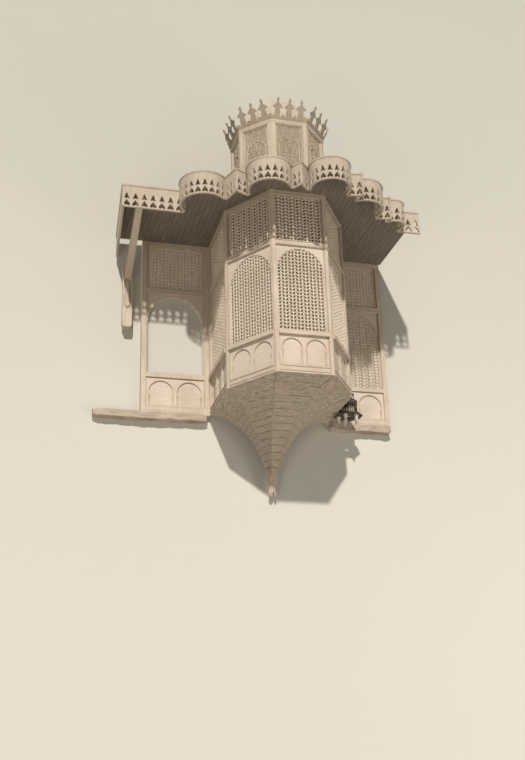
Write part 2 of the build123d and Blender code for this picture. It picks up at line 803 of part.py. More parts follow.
with BuildPart() as lantern_body:
    with BuildSketch(Plane.XY.offset(plate_top)):
        with Locations(lantern_place):
            RegularPolygon(lantern_body_radius, 8, rotation=22.5)
            RegularPolygon(lantern_body_radius - lantern_wall, 8, rotation=22.5, mode=Mode.SUBTRACT)
    extrude(amount=lantern_body_height)
    with BuildSketch(Plane.XY.offset(body_top)):
        with Locations(lantern_place):
            RegularPolygon(lantern_body_radius, 8, rotation=22.5)
    extrude(amount=lantern_wall)
    with BuildSketch(Plane.XY.offset(body_top + lantern_wall)):
        with Locations(lantern_place):
            RegularPolygon(lantern_box_radius, 8, rotation=22.5)
            RegularPolygon(lantern_box_radius - lantern_wall, 8, rotation=22.5, mode=Mode.SUBTRACT)
    extrude(amount=lantern_box_height - lantern_wall)
export(lantern_body.part, "lantern_body")

neck_profile = [
    (lantern_box_radius, box_top),
    (lantern_collar_radius, collar_top),
    (lantern_neck_radius * 2.1, collar_top + 0.14 * lantern_neck_height),
    (lantern_neck_radius * 1.45, collar_top + 0.38 * lantern_neck_height),
    (lantern_neck_radius * 1.1, collar_top + 0.68 * lantern_neck_height),
    (lantern_neck_radius, neck_top - lantern_cap_seat),
    (lantern_cap_radius, neck_top),
    (rod_radius, cap_top),
]
with BuildPart() as lantern_neck:
    add(stacked_solid([(octagon(lantern_x, -lantern_y, apothem), level) for apothem, level in neck_profile]))
export(lantern_neck.part, "lantern_neck")

with BuildPart() as lantern_rod:
    with BuildSketch(Plane.XY.offset(cap_top)):
        with Locations(lantern_place):
            RegularPolygon(rod_radius, 8, rotation=22.5)
    extrude(amount=bay_height - cap_top)
export(lantern_rod.part, "lantern_rod")

# Glass cups that hang under the plate
with BuildPart() as lamps:
    for lamp in range(lamp_count):
        turn = radians(18 + 360 * lamp / lamp_count)
        lamp_x = lantern_x + lamp_circle * cos(turn)
        lamp_y = -lantern_y + lamp_circle * sin(turn)
        mouth = octagon(lamp_x, lamp_y, lamp_radius)
        foot = octagon(lamp_x, lamp_y, lamp_foot_radius)
        add(stacked_solid([(mouth, lantern_plate_z), (foot, lantern_plate_z - lamp_height)]))
export(lamps.part, "lantern_lamps")
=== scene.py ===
"""Looks of a timber bay window with turned lattices, flanking screens, a scalloped canopy and a crown.

The wall's outer face is the plane Y = 0, the bay projects towards -Y and Z is up, in metres. Levels and
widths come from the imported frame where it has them, and the rest are fields of each sub-assembly.
"""

import logging
from dataclasses import dataclass
from enum import Enum
from math import atan2, ceil, cos, hypot, pi, radians, sin, sqrt, tan
from typing import Iterable, Optional, Sequence, Union

import bmesh
import bpy
from mathutils import Matrix, Vector


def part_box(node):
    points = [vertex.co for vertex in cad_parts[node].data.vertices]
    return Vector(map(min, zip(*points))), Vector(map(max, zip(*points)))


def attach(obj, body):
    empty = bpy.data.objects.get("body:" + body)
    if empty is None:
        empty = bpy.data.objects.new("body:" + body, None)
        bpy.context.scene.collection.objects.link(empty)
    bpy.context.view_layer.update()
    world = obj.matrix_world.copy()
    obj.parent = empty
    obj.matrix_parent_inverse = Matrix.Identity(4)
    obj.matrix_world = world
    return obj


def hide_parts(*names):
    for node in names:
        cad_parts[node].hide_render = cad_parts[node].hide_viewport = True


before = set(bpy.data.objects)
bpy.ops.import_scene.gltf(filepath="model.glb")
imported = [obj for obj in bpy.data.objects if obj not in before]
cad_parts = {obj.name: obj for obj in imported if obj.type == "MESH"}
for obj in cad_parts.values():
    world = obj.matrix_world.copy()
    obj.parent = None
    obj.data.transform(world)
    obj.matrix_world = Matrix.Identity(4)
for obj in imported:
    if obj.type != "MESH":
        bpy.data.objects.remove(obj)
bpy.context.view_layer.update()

logging.basicConfig(level=logging.INFO, format="%(message)s")
log = logging.getLogger("bay_window")

Mesh = bpy.types.Mesh
Socket = bpy.types.NodeSocket
Point = tuple[float, float]
Triple = tuple[float, float, float]
Outline = Sequence[Point]
Part = Union[Mesh, tuple[Mesh, Matrix]]
Number = Union[float, int, Socket]

UPWARDS = Vector((0.0, 0.0, 1.0))
STAND_UP = Matrix.Rotation(pi / 2, 4, "X")
BEAD_SIDES = 6


# Small mesh tools


def linked(name: str, data: bpy.types.ID) -> bpy.types.Object:
    """New object in the scene.

    Args:
        name: its name.
        data: its data.

    Returns:
        The object.
    """
    made = bpy.data.objects.new(name, data)
    bpy.context.scene.collection.objects.link(made)
    return made


def evaluated(holder: bpy.types.Object) -> Mesh:
    """Plain mesh of an object as its modifiers leave it."""
    return bpy.data.meshes.new_from_object(holder.evaluated_get(bpy.context.evaluated_depsgraph_get()))


def bmesh_of(mesh: Mesh) -> bmesh.types.BMesh:
    """Copy of a mesh as a bmesh.

    Args:
        mesh: the mesh, which stays as it is.

    Returns:
        The bmesh.
    """
    bm = bmesh.new()
    bm.from_mesh(mesh)
    return bm


def mesh_from(bm: bmesh.types.BMesh, weld: float = 1e-5, outwards: bool = True) -> Mesh:
    """Turn a bmesh into a mesh with its doubles merged, and free it.

    Args:
        bm: the bmesh.
        weld: distance under which vertices are merged.
        outwards: whether its faces are turned outwards.

    Returns:
        The new mesh.
    """
    bmesh.ops.remove_doubles(bm, verts=bm.verts, dist=weld)
    if outwards:
        bmesh.ops.recalc_face_normals(bm, faces=bm.faces)
    mesh = bpy.data.meshes.new("piece")
    bm.to_mesh(mesh)
    bm.free()
    return mesh


def merged(parts: Iterable[Part]) -> Mesh:
    """Join meshes, each of them in place or with the matrix that moves it there.

    Args:
        parts: the meshes, or pairs of a mesh and a matrix.

    Returns:
        One mesh.
    """
    bm = bmesh.new()
    for part in parts:
        mesh, matrix = part if isinstance(part, tuple) else (part, None)
        before = len(bm.verts)
        bm.from_mesh(mesh)
        if matrix is not None:
            bm.verts.ensure_lookup_table()
            bmesh.ops.transform(bm, matrix=matrix, verts=bm.verts[before:])
    joined = bpy.data.meshes.new("piece")
    bm.to_mesh(joined)
    bm.free()
    return joined


def moved(mesh: Mesh, matrix: Matrix) -> Mesh:
    """Move a mesh and return it."""
    mesh.transform(matrix)
    return mesh


def cut_board(outlines: Sequence[Outline], thickness: float) -> Mesh:
    """Flat board with holes, centred on its own plane.

    Args:
        outlines: the outer edge first and then the edge of each hole.
        thickness: the board's thickness along local Z.

    Returns:
        The board as a closed mesh.
    """
    curve = bpy.data.curves.new("board", "CURVE")
    curve.dimensions = "2D"
    curve.fill_mode = "BOTH"
    curve.extrude = thickness / 2
    for outline in outlines:
        spline = curve.splines.new("POLY")
        spline.points.add(len(outline) - 1)
        for point, (x, y) in zip(spline.points, outline):
            point.co = (x, y, 0.0, 1.0)
        spline.use_cyclic_u = True
    holder = linked("board", curve)
    flat = evaluated(holder)
    bpy.data.objects.remove(holder)
    bpy.data.curves.remove(curve)
    return mesh_from(bmesh_of(flat))


def rings_to_mesh(rings: Sequence[Sequence[Vector]]) -> Mesh:
    """Skin rings of equal length from one end to the other and cap both ends.

    Args:
        rings: closed rings of points.

    Returns:
        A closed mesh.
    """
    bm = bmesh.new()
    rows = [[bm.verts.new(point) for point in ring] for ring in rings]
    for first, second in zip(rows, rows[1:]):
        for index in range(len(first)):
            bm.faces.new((first[index - 1], first[index], second[index], second[index - 1]))
    bm.faces.new(rows[0])
    bm.faces.new(rows[-1])
    return mesh_from(bm)


def lifted(points: Iterable[Point], level: float = 0.0) -> list[Vector]:
    """Points of a plane drawing at a level above it."""
    return [Vector((x, y, level)) for x, y in points]


def polygon(radius: float, sides: int, centre: Point = (0.0, 0.0), offset: float = 0.0) -> Outline:
    """Corners of a regular polygon, turned by a share of one of its sides."""
    angles = [2 * pi * (side + offset) / sides for side in range(sides)]
    return [(centre[0] + radius * cos(angle), centre[1] + radius * sin(angle)) for angle in angles]


def turned(profile: Outline, sides: int) -> Mesh:
    """Solid of revolution about local Z from (radius, height) pairs, closed at both ends."""
    return rings_to_mesh([lifted(polygon(max(radius, 1e-5), sides), height) for radius, height in profile])


def swept(path: Sequence[Vector], radius: Union[float, Sequence[float]], sides: int = BEAD_SIDES) -> Mesh:
    """Round bar along a path.

    Args:
        path: points of its centre line.
        radius: one radius, or one for each point.
        sides: sides of its section.

    Returns:
        The bar as a closed mesh.
    """
    radii = [radius] * len(path) if isinstance(radius, float) else radius
    angles = [2 * pi * (side + 0.5) / sides for side in range(sides)]
    rings = []
    across: Optional[Vector] = None
    for index, point in enumerate(path):
        ahead = (path[min(index + 1, len(path) - 1)] - path[max(index - 1, 0)]).normalized()
        across = ahead.orthogonal().normalized() if across is None else across
        across = (across - ahead * across.dot(ahead)).normalized()
        other = ahead.cross(across)
        rings.append([point + (across * cos(angle) + other * sin(angle)) * radii[index] for angle in angles])
    return rings_to_mesh(rings)


def frame_of(corners: Sequence[Vector], radius: float) -> list[Mesh]:
    """Round bars along every side of a polygon."""
    return [swept([first, second], radius) for first, second in zip(corners, [*corners[1:], corners[0]])]


def block(low: Triple, high: Triple) -> Mesh:
    """Box between two corners.

    Args:
        low: its lowest corner.
        high: its highest corner.

    Returns:
        The box.
    """
    bm = bmesh.new()
    bmesh.ops.create_cube(bm, size=1.0)
    for vertex in bm.verts:
        vertex.co = [low[axis] if vertex.co[axis] < 0 else high[axis] for axis in range(3)]
    return mesh_from(bm)


def rectangle(right: float, top: float, left: float = 0.0, bottom: float = 0.0) -> Outline:
    """Outline of a rectangle, which starts at the local origin unless told otherwise."""
    return [(left, bottom), (right, bottom), (right, top), (left, top)]


def plan_axes(first: Point, second: Point) -> tuple[Vector, Vector]:
    """Unit vectors along a line of the plan and outwards from it."""
    ahead = Vector((second[0] - first[0], second[1] - first[1], 0.0)).normalized()
    return ahead, ahead.cross(UPWARDS)


def axes_matrix(x: Vector, y: Vector, z: Vector, origin: Sequence[float]) -> Matrix:
    """Matrix with the given axes and origin."""
    return Matrix.Translation(origin) @ Matrix((x, y, z)).transposed().to_4x4()


# Node trees


class NodeTree:
    """A node tree whose nodes are added with their inputs fed."""

    def __init__(self, tree: bpy.types.NodeTree) -> None:
        """Work on a tree."""
        self.tree = tree

    def feed(self, node: bpy.types.Node, values: dict[Union[str, int], object]) -> None:
        """Feed inputs of a node, by name or place, with sockets or plain values.

        Args:
            node: the node.
            values: sockets or values by input.
        """
        for key, value in values.items():
            if isinstance(value, Socket):
                self.tree.links.new(value, node.inputs[key])
            else:
                node.inputs[key].default_value = value

    def add(self, kind: str, values: Optional[dict] = None, **settings: object) -> bpy.types.Node:
        """Add a node of a kind, set its own options and feed its inputs.

        Args:
            kind: the node's type.
            values: sockets or values by input.
            **settings: its options.

        Returns:
            The node.
        """
        node = self.tree.nodes.new(kind)
        for option, value in settings.items():
            setattr(node, option, value)
        self.feed(node, values or {})
        return node

    def maths(self, operation: str, first: Number, second: Number = 0.0, **settings: object) -> Socket:
        """Result of one sum on two numbers."""
        return self.add("ShaderNodeMath", {0: first, 1: second}, operation=operation, **settings).outputs[0]


class GeometryTree(NodeTree):
    """A geometry node tree with named inputs that works on the geometry of its own object."""

    def __init__(self, name: str) -> None:
        """Make an empty tree with a way in and a way out.

        Args:
            name: the tree's name.
        """
        super().__init__(bpy.data.node_groups.new(name, "GeometryNodeTree"))
        for way in ("INPUT", "OUTPUT"):
            self.tree.interface.new_socket("Geometry", in_out=way, socket_type="NodeSocketGeometry")
        self.name = name
        self.identifiers: dict[str, str] = {}
        self.start = self.add("NodeGroupInput")
        self.end = self.add("NodeGroupOutput")

    def inputs(self, *names: str, kind: str = "NodeSocketFloat") -> list[Socket]:
        """Add named inputs of one kind and return their sockets inside the tree.

        Args:
            *names: the names.
            kind: their socket type.

        Returns:
            The sockets, in order.
        """
        for name in names:
            made = self.tree.interface.new_socket(name, in_out="INPUT", socket_type=kind)
            self.identifiers[name] = made.identifier
        return [self.start.outputs[name] for name in names]

    def vector(self, x: Number, y: Number, z: Number) -> Socket:
        """Vector from three numbers."""
        return self.add("ShaderNodeCombineXYZ", {0: x, 1: y, 2: z}).outputs[0]

    def position(self) -> Sequence[Socket]:
        """The three parts of each point's position."""
        here = self.add("GeometryNodeInputPosition").outputs[0]
        return self.add("ShaderNodeSeparateXYZ", {0: here}).outputs

    def instances(self, points: Socket, **rotation: Socket) -> Socket:
        """The geometry that comes in, on every point."""
        values = {"Points": points, "Instance": self.start.outputs["Geometry"], **rotation}
        return self.add("GeometryNodeInstanceOnPoints", values).outputs[0]

    def finish(self, geometry: Socket) -> None:
        """Realize the instances, set the finish and end the tree.

        Args:
            geometry: what the tree has made.
        """
        real = self.add("GeometryNodeRealizeInstances", {0: geometry}).outputs[0]
        finish, = self.inputs("Finish", kind="NodeSocketMaterial")
        dressed = self.add("GeometryNodeSetMaterial", {"Geometry": real, "Material": finish}).outputs[0]
        self.tree.links.new(dressed, self.end.inputs[0])

    def run(self, base: Mesh, material: bpy.types.Material, **values: object) -> Mesh:
        """Run the tree on a mesh and return the result as a plain mesh.

        Args:
            base: the mesh that comes in as the tree's geometry.
            material: the finish of the result.
            **values: the tree's other inputs, with spaces in their names as underscores.

        Returns:
            A plain mesh.
        """
        holder = linked(self.name, base)
        modifier = holder.modifiers.new(self.name, "NODES")
        modifier.node_group = self.tree
        modifier[self.identifiers["Finish"]] = material
        for name, value in values.items():
            modifier[self.identifiers[name.replace("_", " ").capitalize()]] = value
        result = evaluated(holder)
        holder.modifiers.remove(modifier)
        bpy.data.objects.remove(holder)
        return result


def lattice_tree() -> GeometryTree:
    """Tree that fills a panel with the incoming two-column unit of a turned lattice.

    Returns:
        A tree with inputs Width, Height, Arch radius, Spring, Pairs and Rows.
    """
    tree = GeometryTree("turned lattice")
    width, height, radius, spring = tree.inputs("Width", "Height", "Arch radius", "Spring")
    pairs, rows = tree.inputs("Pairs", "Rows", kind="NodeSocketInt")
    pair_pitch = tree.maths("DIVIDE", width, pairs)
    row_pitch = tree.maths("DIVIDE", height, rows)
    grid = tree.add("GeometryNodeMeshGrid", {
        "Size X": tree.maths("SUBTRACT", width, pair_pitch),
        "Size Y": tree.maths("SUBTRACT", height, row_pitch),
        "Vertices X": pairs,
        "Vertices Y": rows,
    })
    half = tree.maths("MULTIPLY", width, 0.5)
    middle = tree.vector(half, tree.maths("MULTIPLY", height, 0.5), 0.0)
    placed = tree.add("GeometryNodeTransform", {"Geometry": grid.outputs["Mesh"], "Translation": middle})
    x, y, _ = tree.position()
    across = tree.maths("SUBTRACT", x, half)
    above = tree.maths("MAXIMUM", tree.maths("SUBTRACT", y, spring), 0.0)
    squares = tree.maths("ADD", tree.maths("MULTIPLY", across, across), tree.maths("MULTIPLY", above, above))
    outside = tree.maths("GREATER_THAN", tree.maths("SQRT", squares), tree.maths("ADD", radius, pair_pitch))
    values = {"Geometry": placed.outputs[0], "Selection": outside}
    kept = tree.add("GeometryNodeDeleteGeometry", values, domain="POINT")
    tree.finish(tree.instances(kept.outputs[0]))
    return tree


def band_tree() -> GeometryTree:
    """Tree that repeats the incoming tile along X and bends the row round an upright axis.

    Returns:
        A tree with inputs Tiles, Pitch, Bend radius and Bent.
    """
    tree = GeometryTree("pierced band")
    tiles, = tree.inputs("Tiles", kind="NodeSocketInt")
    pitch, radius = tree.inputs("Pitch", "Bend radius")
    bent, = tree.inputs("Bent", kind="NodeSocketBool")
    line = tree.add("GeometryNodeMeshLine", {"Count": tiles, "Offset": tree.vector(pitch, 0.0, 0.0)})
    real = tree.add("GeometryNodeRealizeInstances", {0: tree.instances(line.outputs[0])})
    welded = tree.add("GeometryNodeMergeByDistance", {"Geometry": real.outputs[0], "Distance": 1e-5})
    x, y, z = tree.position()
    turn = tree.maths("DIVIDE", x, radius)
    reach = tree.maths("ADD", radius, z)
    depth = tree.maths("SUBTRACT", tree.maths("MULTIPLY", reach, tree.maths("COSINE", turn)), radius)
    curved = tree.vector(tree.maths("MULTIPLY", reach, tree.maths("SINE", turn)), y, depth)
    values = {"Geometry": welded.outputs[0], "Selection": bent, "Position": curved}
    tree.finish(tree.add("GeometryNodeSetPosition", values).outputs[0])
    return tree


def ring_tree() -> GeometryTree:
    """Tree that repeats the incoming piece on the sides of a regular drum about the local Z axis.

    Returns:
        A tree with inputs Sides, Per side, Apothem and Side length.
    """
    tree = GeometryTree("ring of pieces")
    sides, per_side = tree.inputs("Sides", "Per side", kind="NodeSocketInt")
    apothem, side_length = tree.inputs("Apothem", "Side length")
    pitch = tree.maths("DIVIDE", side_length, per_side)
    count = tree.maths("MULTIPLY", sides, per_side)
    line = tree.add("GeometryNodeMeshLine", {"Count": count, "Offset": tree.vector(0.0, 0.0, 0.0)})
    index = tree.add("GeometryNodeInputIndex").outputs[0]
    side = tree.maths("FLOOR", tree.maths("DIVIDE", index, per_side))
    place = tree.maths("SUBTRACT", index, tree.maths("MULTIPLY", side, per_side))
    travelled = tree.maths("MULTIPLY", tree.maths("ADD", place, 0.5), pitch)
    along = tree.maths("SUBTRACT", travelled, tree.maths("MULTIPLY", side_length, 0.5))
    angle = tree.maths("DIVIDE", tree.maths("MULTIPLY", side, 2 * pi), sides)
    sine = tree.maths("SINE", angle)
    cosine = tree.maths("COSINE", angle)
    x = tree.maths("ADD", tree.maths("MULTIPLY", along, cosine), tree.maths("MULTIPLY", apothem, sine))
    y = tree.maths("SUBTRACT", tree.maths("MULTIPLY", along, sine), tree.maths("MULTIPLY", apothem, cosine))
    values = {"Geometry": line.outputs[0], "Position": tree.vector(x, y, 0.0)}
    placed = tree.add("GeometryNodeSetPosition", values)
    tree.finish(tree.instances(placed.outputs[0], Rotation=tree.vector(0.0, 0.0, angle)))
    return tree


@dataclass(frozen=True)
class Drum:
    """Regular drum about an upright axis, on whose sides pieces are repeated."""

    tree: GeometryTree
    centre: Point
    sides: int = 8

    def around(self, piece: Mesh, material: bpy.types.Material, apothem: float, per_side: int = 1) -> Mesh:
        """Repeat a piece on every side, with its local X along the side and -Y outwards.

        Args:
            piece: the piece, with its own level already in it.
            material: its finish.
            apothem: distance from the drum's middle to a side.
            per_side: number of pieces on a side.

        Returns:
            All the pieces as one mesh, in place.
        """
        length = 2 * apothem * tan(pi / self.sides)
        mesh = self.tree.run(
            piece, material, sides=self.sides, per_side=per_side, apothem=apothem, side_length=length,
        )
        return moved(mesh, Matrix.Translation((*self.centre, 0.0)))

    def outline(self, apothem: float, centre: Point = (0.0, 0.0)) -> Outline:
        """Corners of the drum at an apothem."""
        return polygon(apothem / cos(pi / self.sides), self.sides, centre, 0.5)


# Finishes


class MaterialTree(NodeTree):
    """The node tree of a new material with a Principled shader."""

    def __init__(self, name: str, constants: dict[str, object]) -> None:
        """Make the material and set its shader's constant inputs.

        Args:
            name: the material's name.
            constants: values by input.
        """
        self.material = bpy.data.materials.new(name)
        self.material.use_nodes = True
        super().__init__(self.material.node_tree)
        self.shader = self.tree.nodes["Principled BSDF"]
        self.feed(self.shader, constants)

    def place(self) -> Socket:
        """Object coordinates."""
        return self.add("ShaderNodeTexCoord").outputs["Object"]

    def noise(self, place: Socket, settings: dict[str, float]) -> Socket:
        """Strength of a noise."""
        return self.add("ShaderNodeTexNoise", {"Vector": place, **settings}).outputs["Fac"]

    def ramp(self, share: Socket, *stops: tuple[float, Triple]) -> Socket:
        """Colour from a dark stop to a light one.

        Args:
            share: what the colour follows.
            *stops: pairs of a position and a colour.

        Returns:
            The colour.
        """
        node = self.add("ShaderNodeValToRGB", {"Fac": share})
        for element, (position, colour) in zip(node.color_ramp.elements, stops):
            element.position = position
            element.color = (*colour, 1.0)
        return node.outputs["Color"]

    def mix(self, share: Socket, first: object, second: object, **settings: object) -> Socket:
        """Colour mixed from two."""
        values = {"Fac": share, "Color1": first, "Color2": second}
        return self.add("ShaderNodeMixRGB", values, **settings).outputs["Color"]

    def relief(self, height: Socket, strength: float, distance: float) -> None:
        """Feed the shader's normal with a bump."""
        bump = self.add("ShaderNodeBump", {"Height": height, "Strength": strength, "Distance": distance})
        self.feed(self.shader, {"Normal": bump.outputs["Normal"]})


class Grain(Enum):
    """Which way a timber's grain runs, as the stretch of its pattern along X, Y and Z."""

    UPRIGHT = (38.0, 38.0, 2.2)
    LEVEL = (3.0, 3.0, 44.0)
    DEEP = (46.0, 2.0, 30.0)
    EVEN = (22.0, 22.0, 22.0)


@dataclass(frozen=True)
class TimberFinish:
    """Weathered timber with fine grain, darker streaks and a worn tone."""

    name: str
    light: Triple
    dark: Triple
    grain: Grain = Grain.UPRIGHT
    contrast: float = 1.0
    weathering: float = 0.35
    bump: float = 0.25
    fine: float = 1.0
    board_joints: float = 0.0

    FIBRES = {"Scale": 2.4, "Detail": 6.0, "Roughness": 0.62, "Distortion": 0.25}
    CLOUDS = {"Scale": 3.1, "Detail": 5.0}
    CLOUD_RANGE = {"From Min": 0.42, "From Max": 0.72}
    WORN = (0.62, 0.56, 0.49, 1.0)
    JOINT = (0.09, 0.073, 0.056, 1.0)
    JOINT_HALF = 0.0018
    DARK_REACH = 0.28
    LIGHT_REACH = 0.16
    RELIEF = 0.004

    def material(self) -> bpy.types.Material:
        """Build the node material.

        Returns:
            The material.
        """
        tree = MaterialTree(self.name, {"Roughness": 0.78, "Specular IOR Level": 0.25})
        place = tree.place()
        stretch = [value * self.fine for value in self.grain.value]
        stretched = tree.add("ShaderNodeMapping", {"Vector": place, "Scale": stretch}).outputs["Vector"]
        height = fibres = tree.noise(stretched, self.FIBRES)
        dark = (0.5 - self.DARK_REACH * self.contrast, self.dark)
        light = (0.5 + self.LIGHT_REACH * self.contrast, self.light)
        values = {"Value": tree.noise(place, self.CLOUDS), **self.CLOUD_RANGE, "To Max": self.weathering}
        stain = tree.add("ShaderNodeMapRange", values).outputs["Result"]
        colour = tree.mix(stain, tree.ramp(fibres, dark, light), self.WORN, blend_type="MULTIPLY")
        if self.board_joints:
            across = tree.add("ShaderNodeSeparateXYZ", {0: place}).outputs[0]
            share = tree.maths("PINGPONG", across, self.board_joints / 2)
            wood = tree.maths("GREATER_THAN", share, self.JOINT_HALF)
            colour = tree.mix(wood, self.JOINT, colour)
            height = tree.maths("ADD", fibres, wood)
        tree.feed(tree.shader, {"Base Color": colour})
        tree.relief(height, self.bump, self.RELIEF)
        return tree.material


@dataclass(frozen=True)
class MetalFinish:
    """Old sheet metal with a patchy dull surface."""

    name: str
    light: Triple
    dark: Triple

    PATCHES = {"Scale": 38.0, "Detail": 6.0}
    DARK_UNDER = 0.35
    LIGHT_OVER = 0.7
    DULLNESS = {"To Min": 0.35, "To Max": 0.7}

    def material(self) -> bpy.types.Material:
        """Build the node material.

        Returns:
            The material.
        """
        tree = MaterialTree(self.name, {"Metallic": 0.7})
        patches = tree.noise(tree.place(), self.PATCHES)
        colour = tree.ramp(patches, (self.DARK_UNDER, self.dark), (self.LIGHT_OVER, self.light))
        dull = tree.add("ShaderNodeMapRange", {"Value": patches, **self.DULLNESS}).outputs["Result"]
        tree.feed(tree.shader, {"Base Color": colour, "Roughness": dull})
        tree.relief(patches, 0.15, 0.002)
        return tree.material


@dataclass(frozen=True)
class GlassFinish:
    """Pale clear glass with a faint milky bloom."""

    name: str
    tint: Triple
    bloom: Triple

    def material(self) -> bpy.types.Material:
        """Build the node material.

        Returns:
            The material.
        """
        tree = MaterialTree(self.name, {"Roughness": 0.12, "IOR": 1.48, "Transmission Weight": 0.45})
        cloud = tree.noise(tree.place(), {"Scale": 26.0})
        tree.feed(tree.shader, {"Base Color": tree.mix(cloud, (*self.tint, 1.0), (*self.bloom, 1.0))})
        return tree.material


class Finishes:
    """The object's finishes by name, made once."""

    def __init__(self) -> None:
        """Describe every finish and build its material."""
        pale, shade = (0.62, 0.525, 0.42), (0.42, 0.345, 0.265)
        level, deep, even = Grain.LEVEL, Grain.DEEP, Grain.EVEN
        described = {
            "joinery": TimberFinish("joinery_timber", pale, shade),
            "joinery_level": TimberFinish("joinery_timber_level", pale, shade, level),
            "panels": TimberFinish("panel_timber", (0.64, 0.555, 0.46), (0.51, 0.43, 0.345), level, 1.2),
            "lattice": TimberFinish("turned_timber", (0.74, 0.64, 0.52), (0.56, 0.475, 0.38), even),
            "rough_timber": TimberFinish(
                "rough_beam", (0.52, 0.435, 0.345), (0.26, 0.21, 0.16), level, 0.9, weathering=0.6, bump=0.6,
            ),
            # Soffit boards far darker than the other timber: painted shade under the canopy and the bay; the
            # dark joints between the boards are real.
            "soffit_boards": TimberFinish(
                "soffit_timber_painted_shade", (0.27, 0.226, 0.178), (0.105, 0.087, 0.067), deep, board_joints=0.055,
            ),
            "corbel_boards": TimberFinish(
                "corbel_timber", (0.57, 0.48, 0.385), (0.22, 0.18, 0.14), level, weathering=0.15, bump=0.4,
                fine=2.4,
            ),
            "corbel_edges": TimberFinish("corbel_edge_timber", (0.58, 0.49, 0.39), (0.36, 0.295, 0.23)),
            "valance_paint": TimberFinish(
                "valance_timber", (0.56, 0.48, 0.385), (0.37, 0.31, 0.243), contrast=1.1,
            ),
            "crown_wood": TimberFinish(
                "crown_timber", (0.66, 0.57, 0.445), (0.47, 0.39, 0.295), contrast=1.1,
            ),
            # Ground behind the crown's vines, darker than the crown's wood: painted shade in the depth of
            # the carving.
            "crown_ground_painted_shade": TimberFinish("painted_shade_ground_timber", (0.40, 0.335, 0.255), (0.25, 0.20, 0.15)),
            "strut_wood": TimberFinish("strut_timber", pale, shade, even, 1.4, bump=0.1),
            # Crest timber darker than the crown's own wood: painted shade for crests that stand in shade.
            "crest_wood": TimberFinish(
                "crest_timber_painted_shade", (0.48, 0.405, 0.31), (0.28, 0.23, 0.17), contrast=1.1,
            ),
            "dome_plaster": TimberFinish(
                "dome_boarding", (0.62, 0.54, 0.43), (0.50, 0.425, 0.33), level, 1.2,
            ),
            "lantern_metal": MetalFinish("tarnished_metal", (0.16, 0.12, 0.075), (0.035, 0.027, 0.02)),
            "lamp_glass": GlassFinish("lamp_glass", (0.82, 0.80, 0.72), (0.93, 0.91, 0.85)),
        }
        self.made = {name: finish.material() for name, finish in described.items()}

    def __getitem__(self, name: str) -> bpy.types.Material:
        """The material of a finish by name."""
        return self.made[name]


# Levels and plan


@dataclass(frozen=True)
class Levels:
    """Heights of the rails, read from the frame."""

    base_top: float
    sill_bottom: float
    sill_top: float
    mid_bottom: float
    mid_top: float
    top_bottom: float

    @classmethod
    def from_frame(cls) -> "Levels":
        """Read the rails' boxes, from the base rail up.

        Returns:
            The heights.
        """
        boxes = [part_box(f"bay_{rail}_rails") for rail in ("base", "sill", "mid", "top")]
        heights = [corner.z for box in boxes for corner in box]
        return cls(*heights[1:-1])

    @property
    def openings(self) -> tuple[Point, ...]:
        """Foot and head of each row of openings, from the top down.

        Returns:
            Three pairs of levels.
        """
        return (
            (self.mid_top, self.top_bottom),
            (self.sill_top, self.mid_bottom),
            (self.base_top, self.sill_bottom),
        )


@dataclass(frozen=True)
class ScreenFace:
    """One upright face of the bay or of a flanking screen, as seen from outside."""

    name: str
    start: Point
    end: Point
    post: float = 0.0
    blind_arches: int = 2
    clad_node: str = ""
    arch_node: str = ""
    open_arch: bool = False

    @property
    def length(self) -> float:
        """Length of the face in plan."""
        return hypot(self.end[0] - self.start[0], self.end[1] - self.start[1])

    @property
    def clear(self) -> float:
        """Width between its posts."""
        return self.length - 2 * self.post

    def place(self, level: float, setback: float = 0.0) -> Matrix:
        """Matrix that puts local X along the face from its first post, Y up and Z outwards.

        Args:
            level: height of the local origin.
            setback: how far it lies behind the face.

        Returns:
            The matrix.
        """
        ahead, out = plan_axes(self.start, self.end)
        origin = Vector((*self.start, level)) + ahead * self.post - out * setback
        return axes_matrix(ahead, UPWARDS, out, origin)


@dataclass(frozen=True)
class BayPlan:
    """Plan of the bay and its two flanking screens."""

    corners: tuple[Point, ...]
    faces: tuple[ScreenFace, ...]
    flanks: tuple[ScreenFace, ...]

    @classmethod
    def from_frame(cls, post: float = 0.032, flank_post: float = 0.05) -> "BayPlan":
        """Work the plan out from the boxes of the posts and of the boarded faces.

        Args:
            post: width that a corner post shows on a face.
            flank_post: width of a flanking screen's stiles.

        Returns:
            The plan.
        """
        low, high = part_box("bay_posts")
        half = high.x
        front_low, front_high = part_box("arch_screen_front")
        front = (front_high.x - front_low.x) / 2 + post
        return_low, return_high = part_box("arch_screen_right_return")
        shoulder = return_high.y - return_low.y + 2 * post
        corners = (
            (-half, 0.0), (-half, -shoulder), (-front, low.y),
            (front, low.y), (half, -shoulder), (half, 0.0),
        )
        names = ("left_return", "left_diagonal", "front", "right_diagonal", "right_return")
        faces = tuple(
            ScreenFace(
                name, start, end, post, 3 if "return" in name else 2,
                f"upper_screen_{name}", f"arch_screen_{name}",
            )
            for name, start, end in zip(names, corners, corners[1:])
        )
        flanks = []
        for side, infill in (("left", "board"), ("right", "screen")):
            low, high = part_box(f"{side}_flank_frame")
            flanks.append(ScreenFace(
                f"{side}_flank", (low.x, 0.0), (high.x, 0.0), flank_post, 2,
                f"{side}_flank_upper_screen", f"{side}_flank_arch_{infill}", side == "left",
            ))
        return cls(corners, faces, tuple(flanks))


# Sub-assemblies


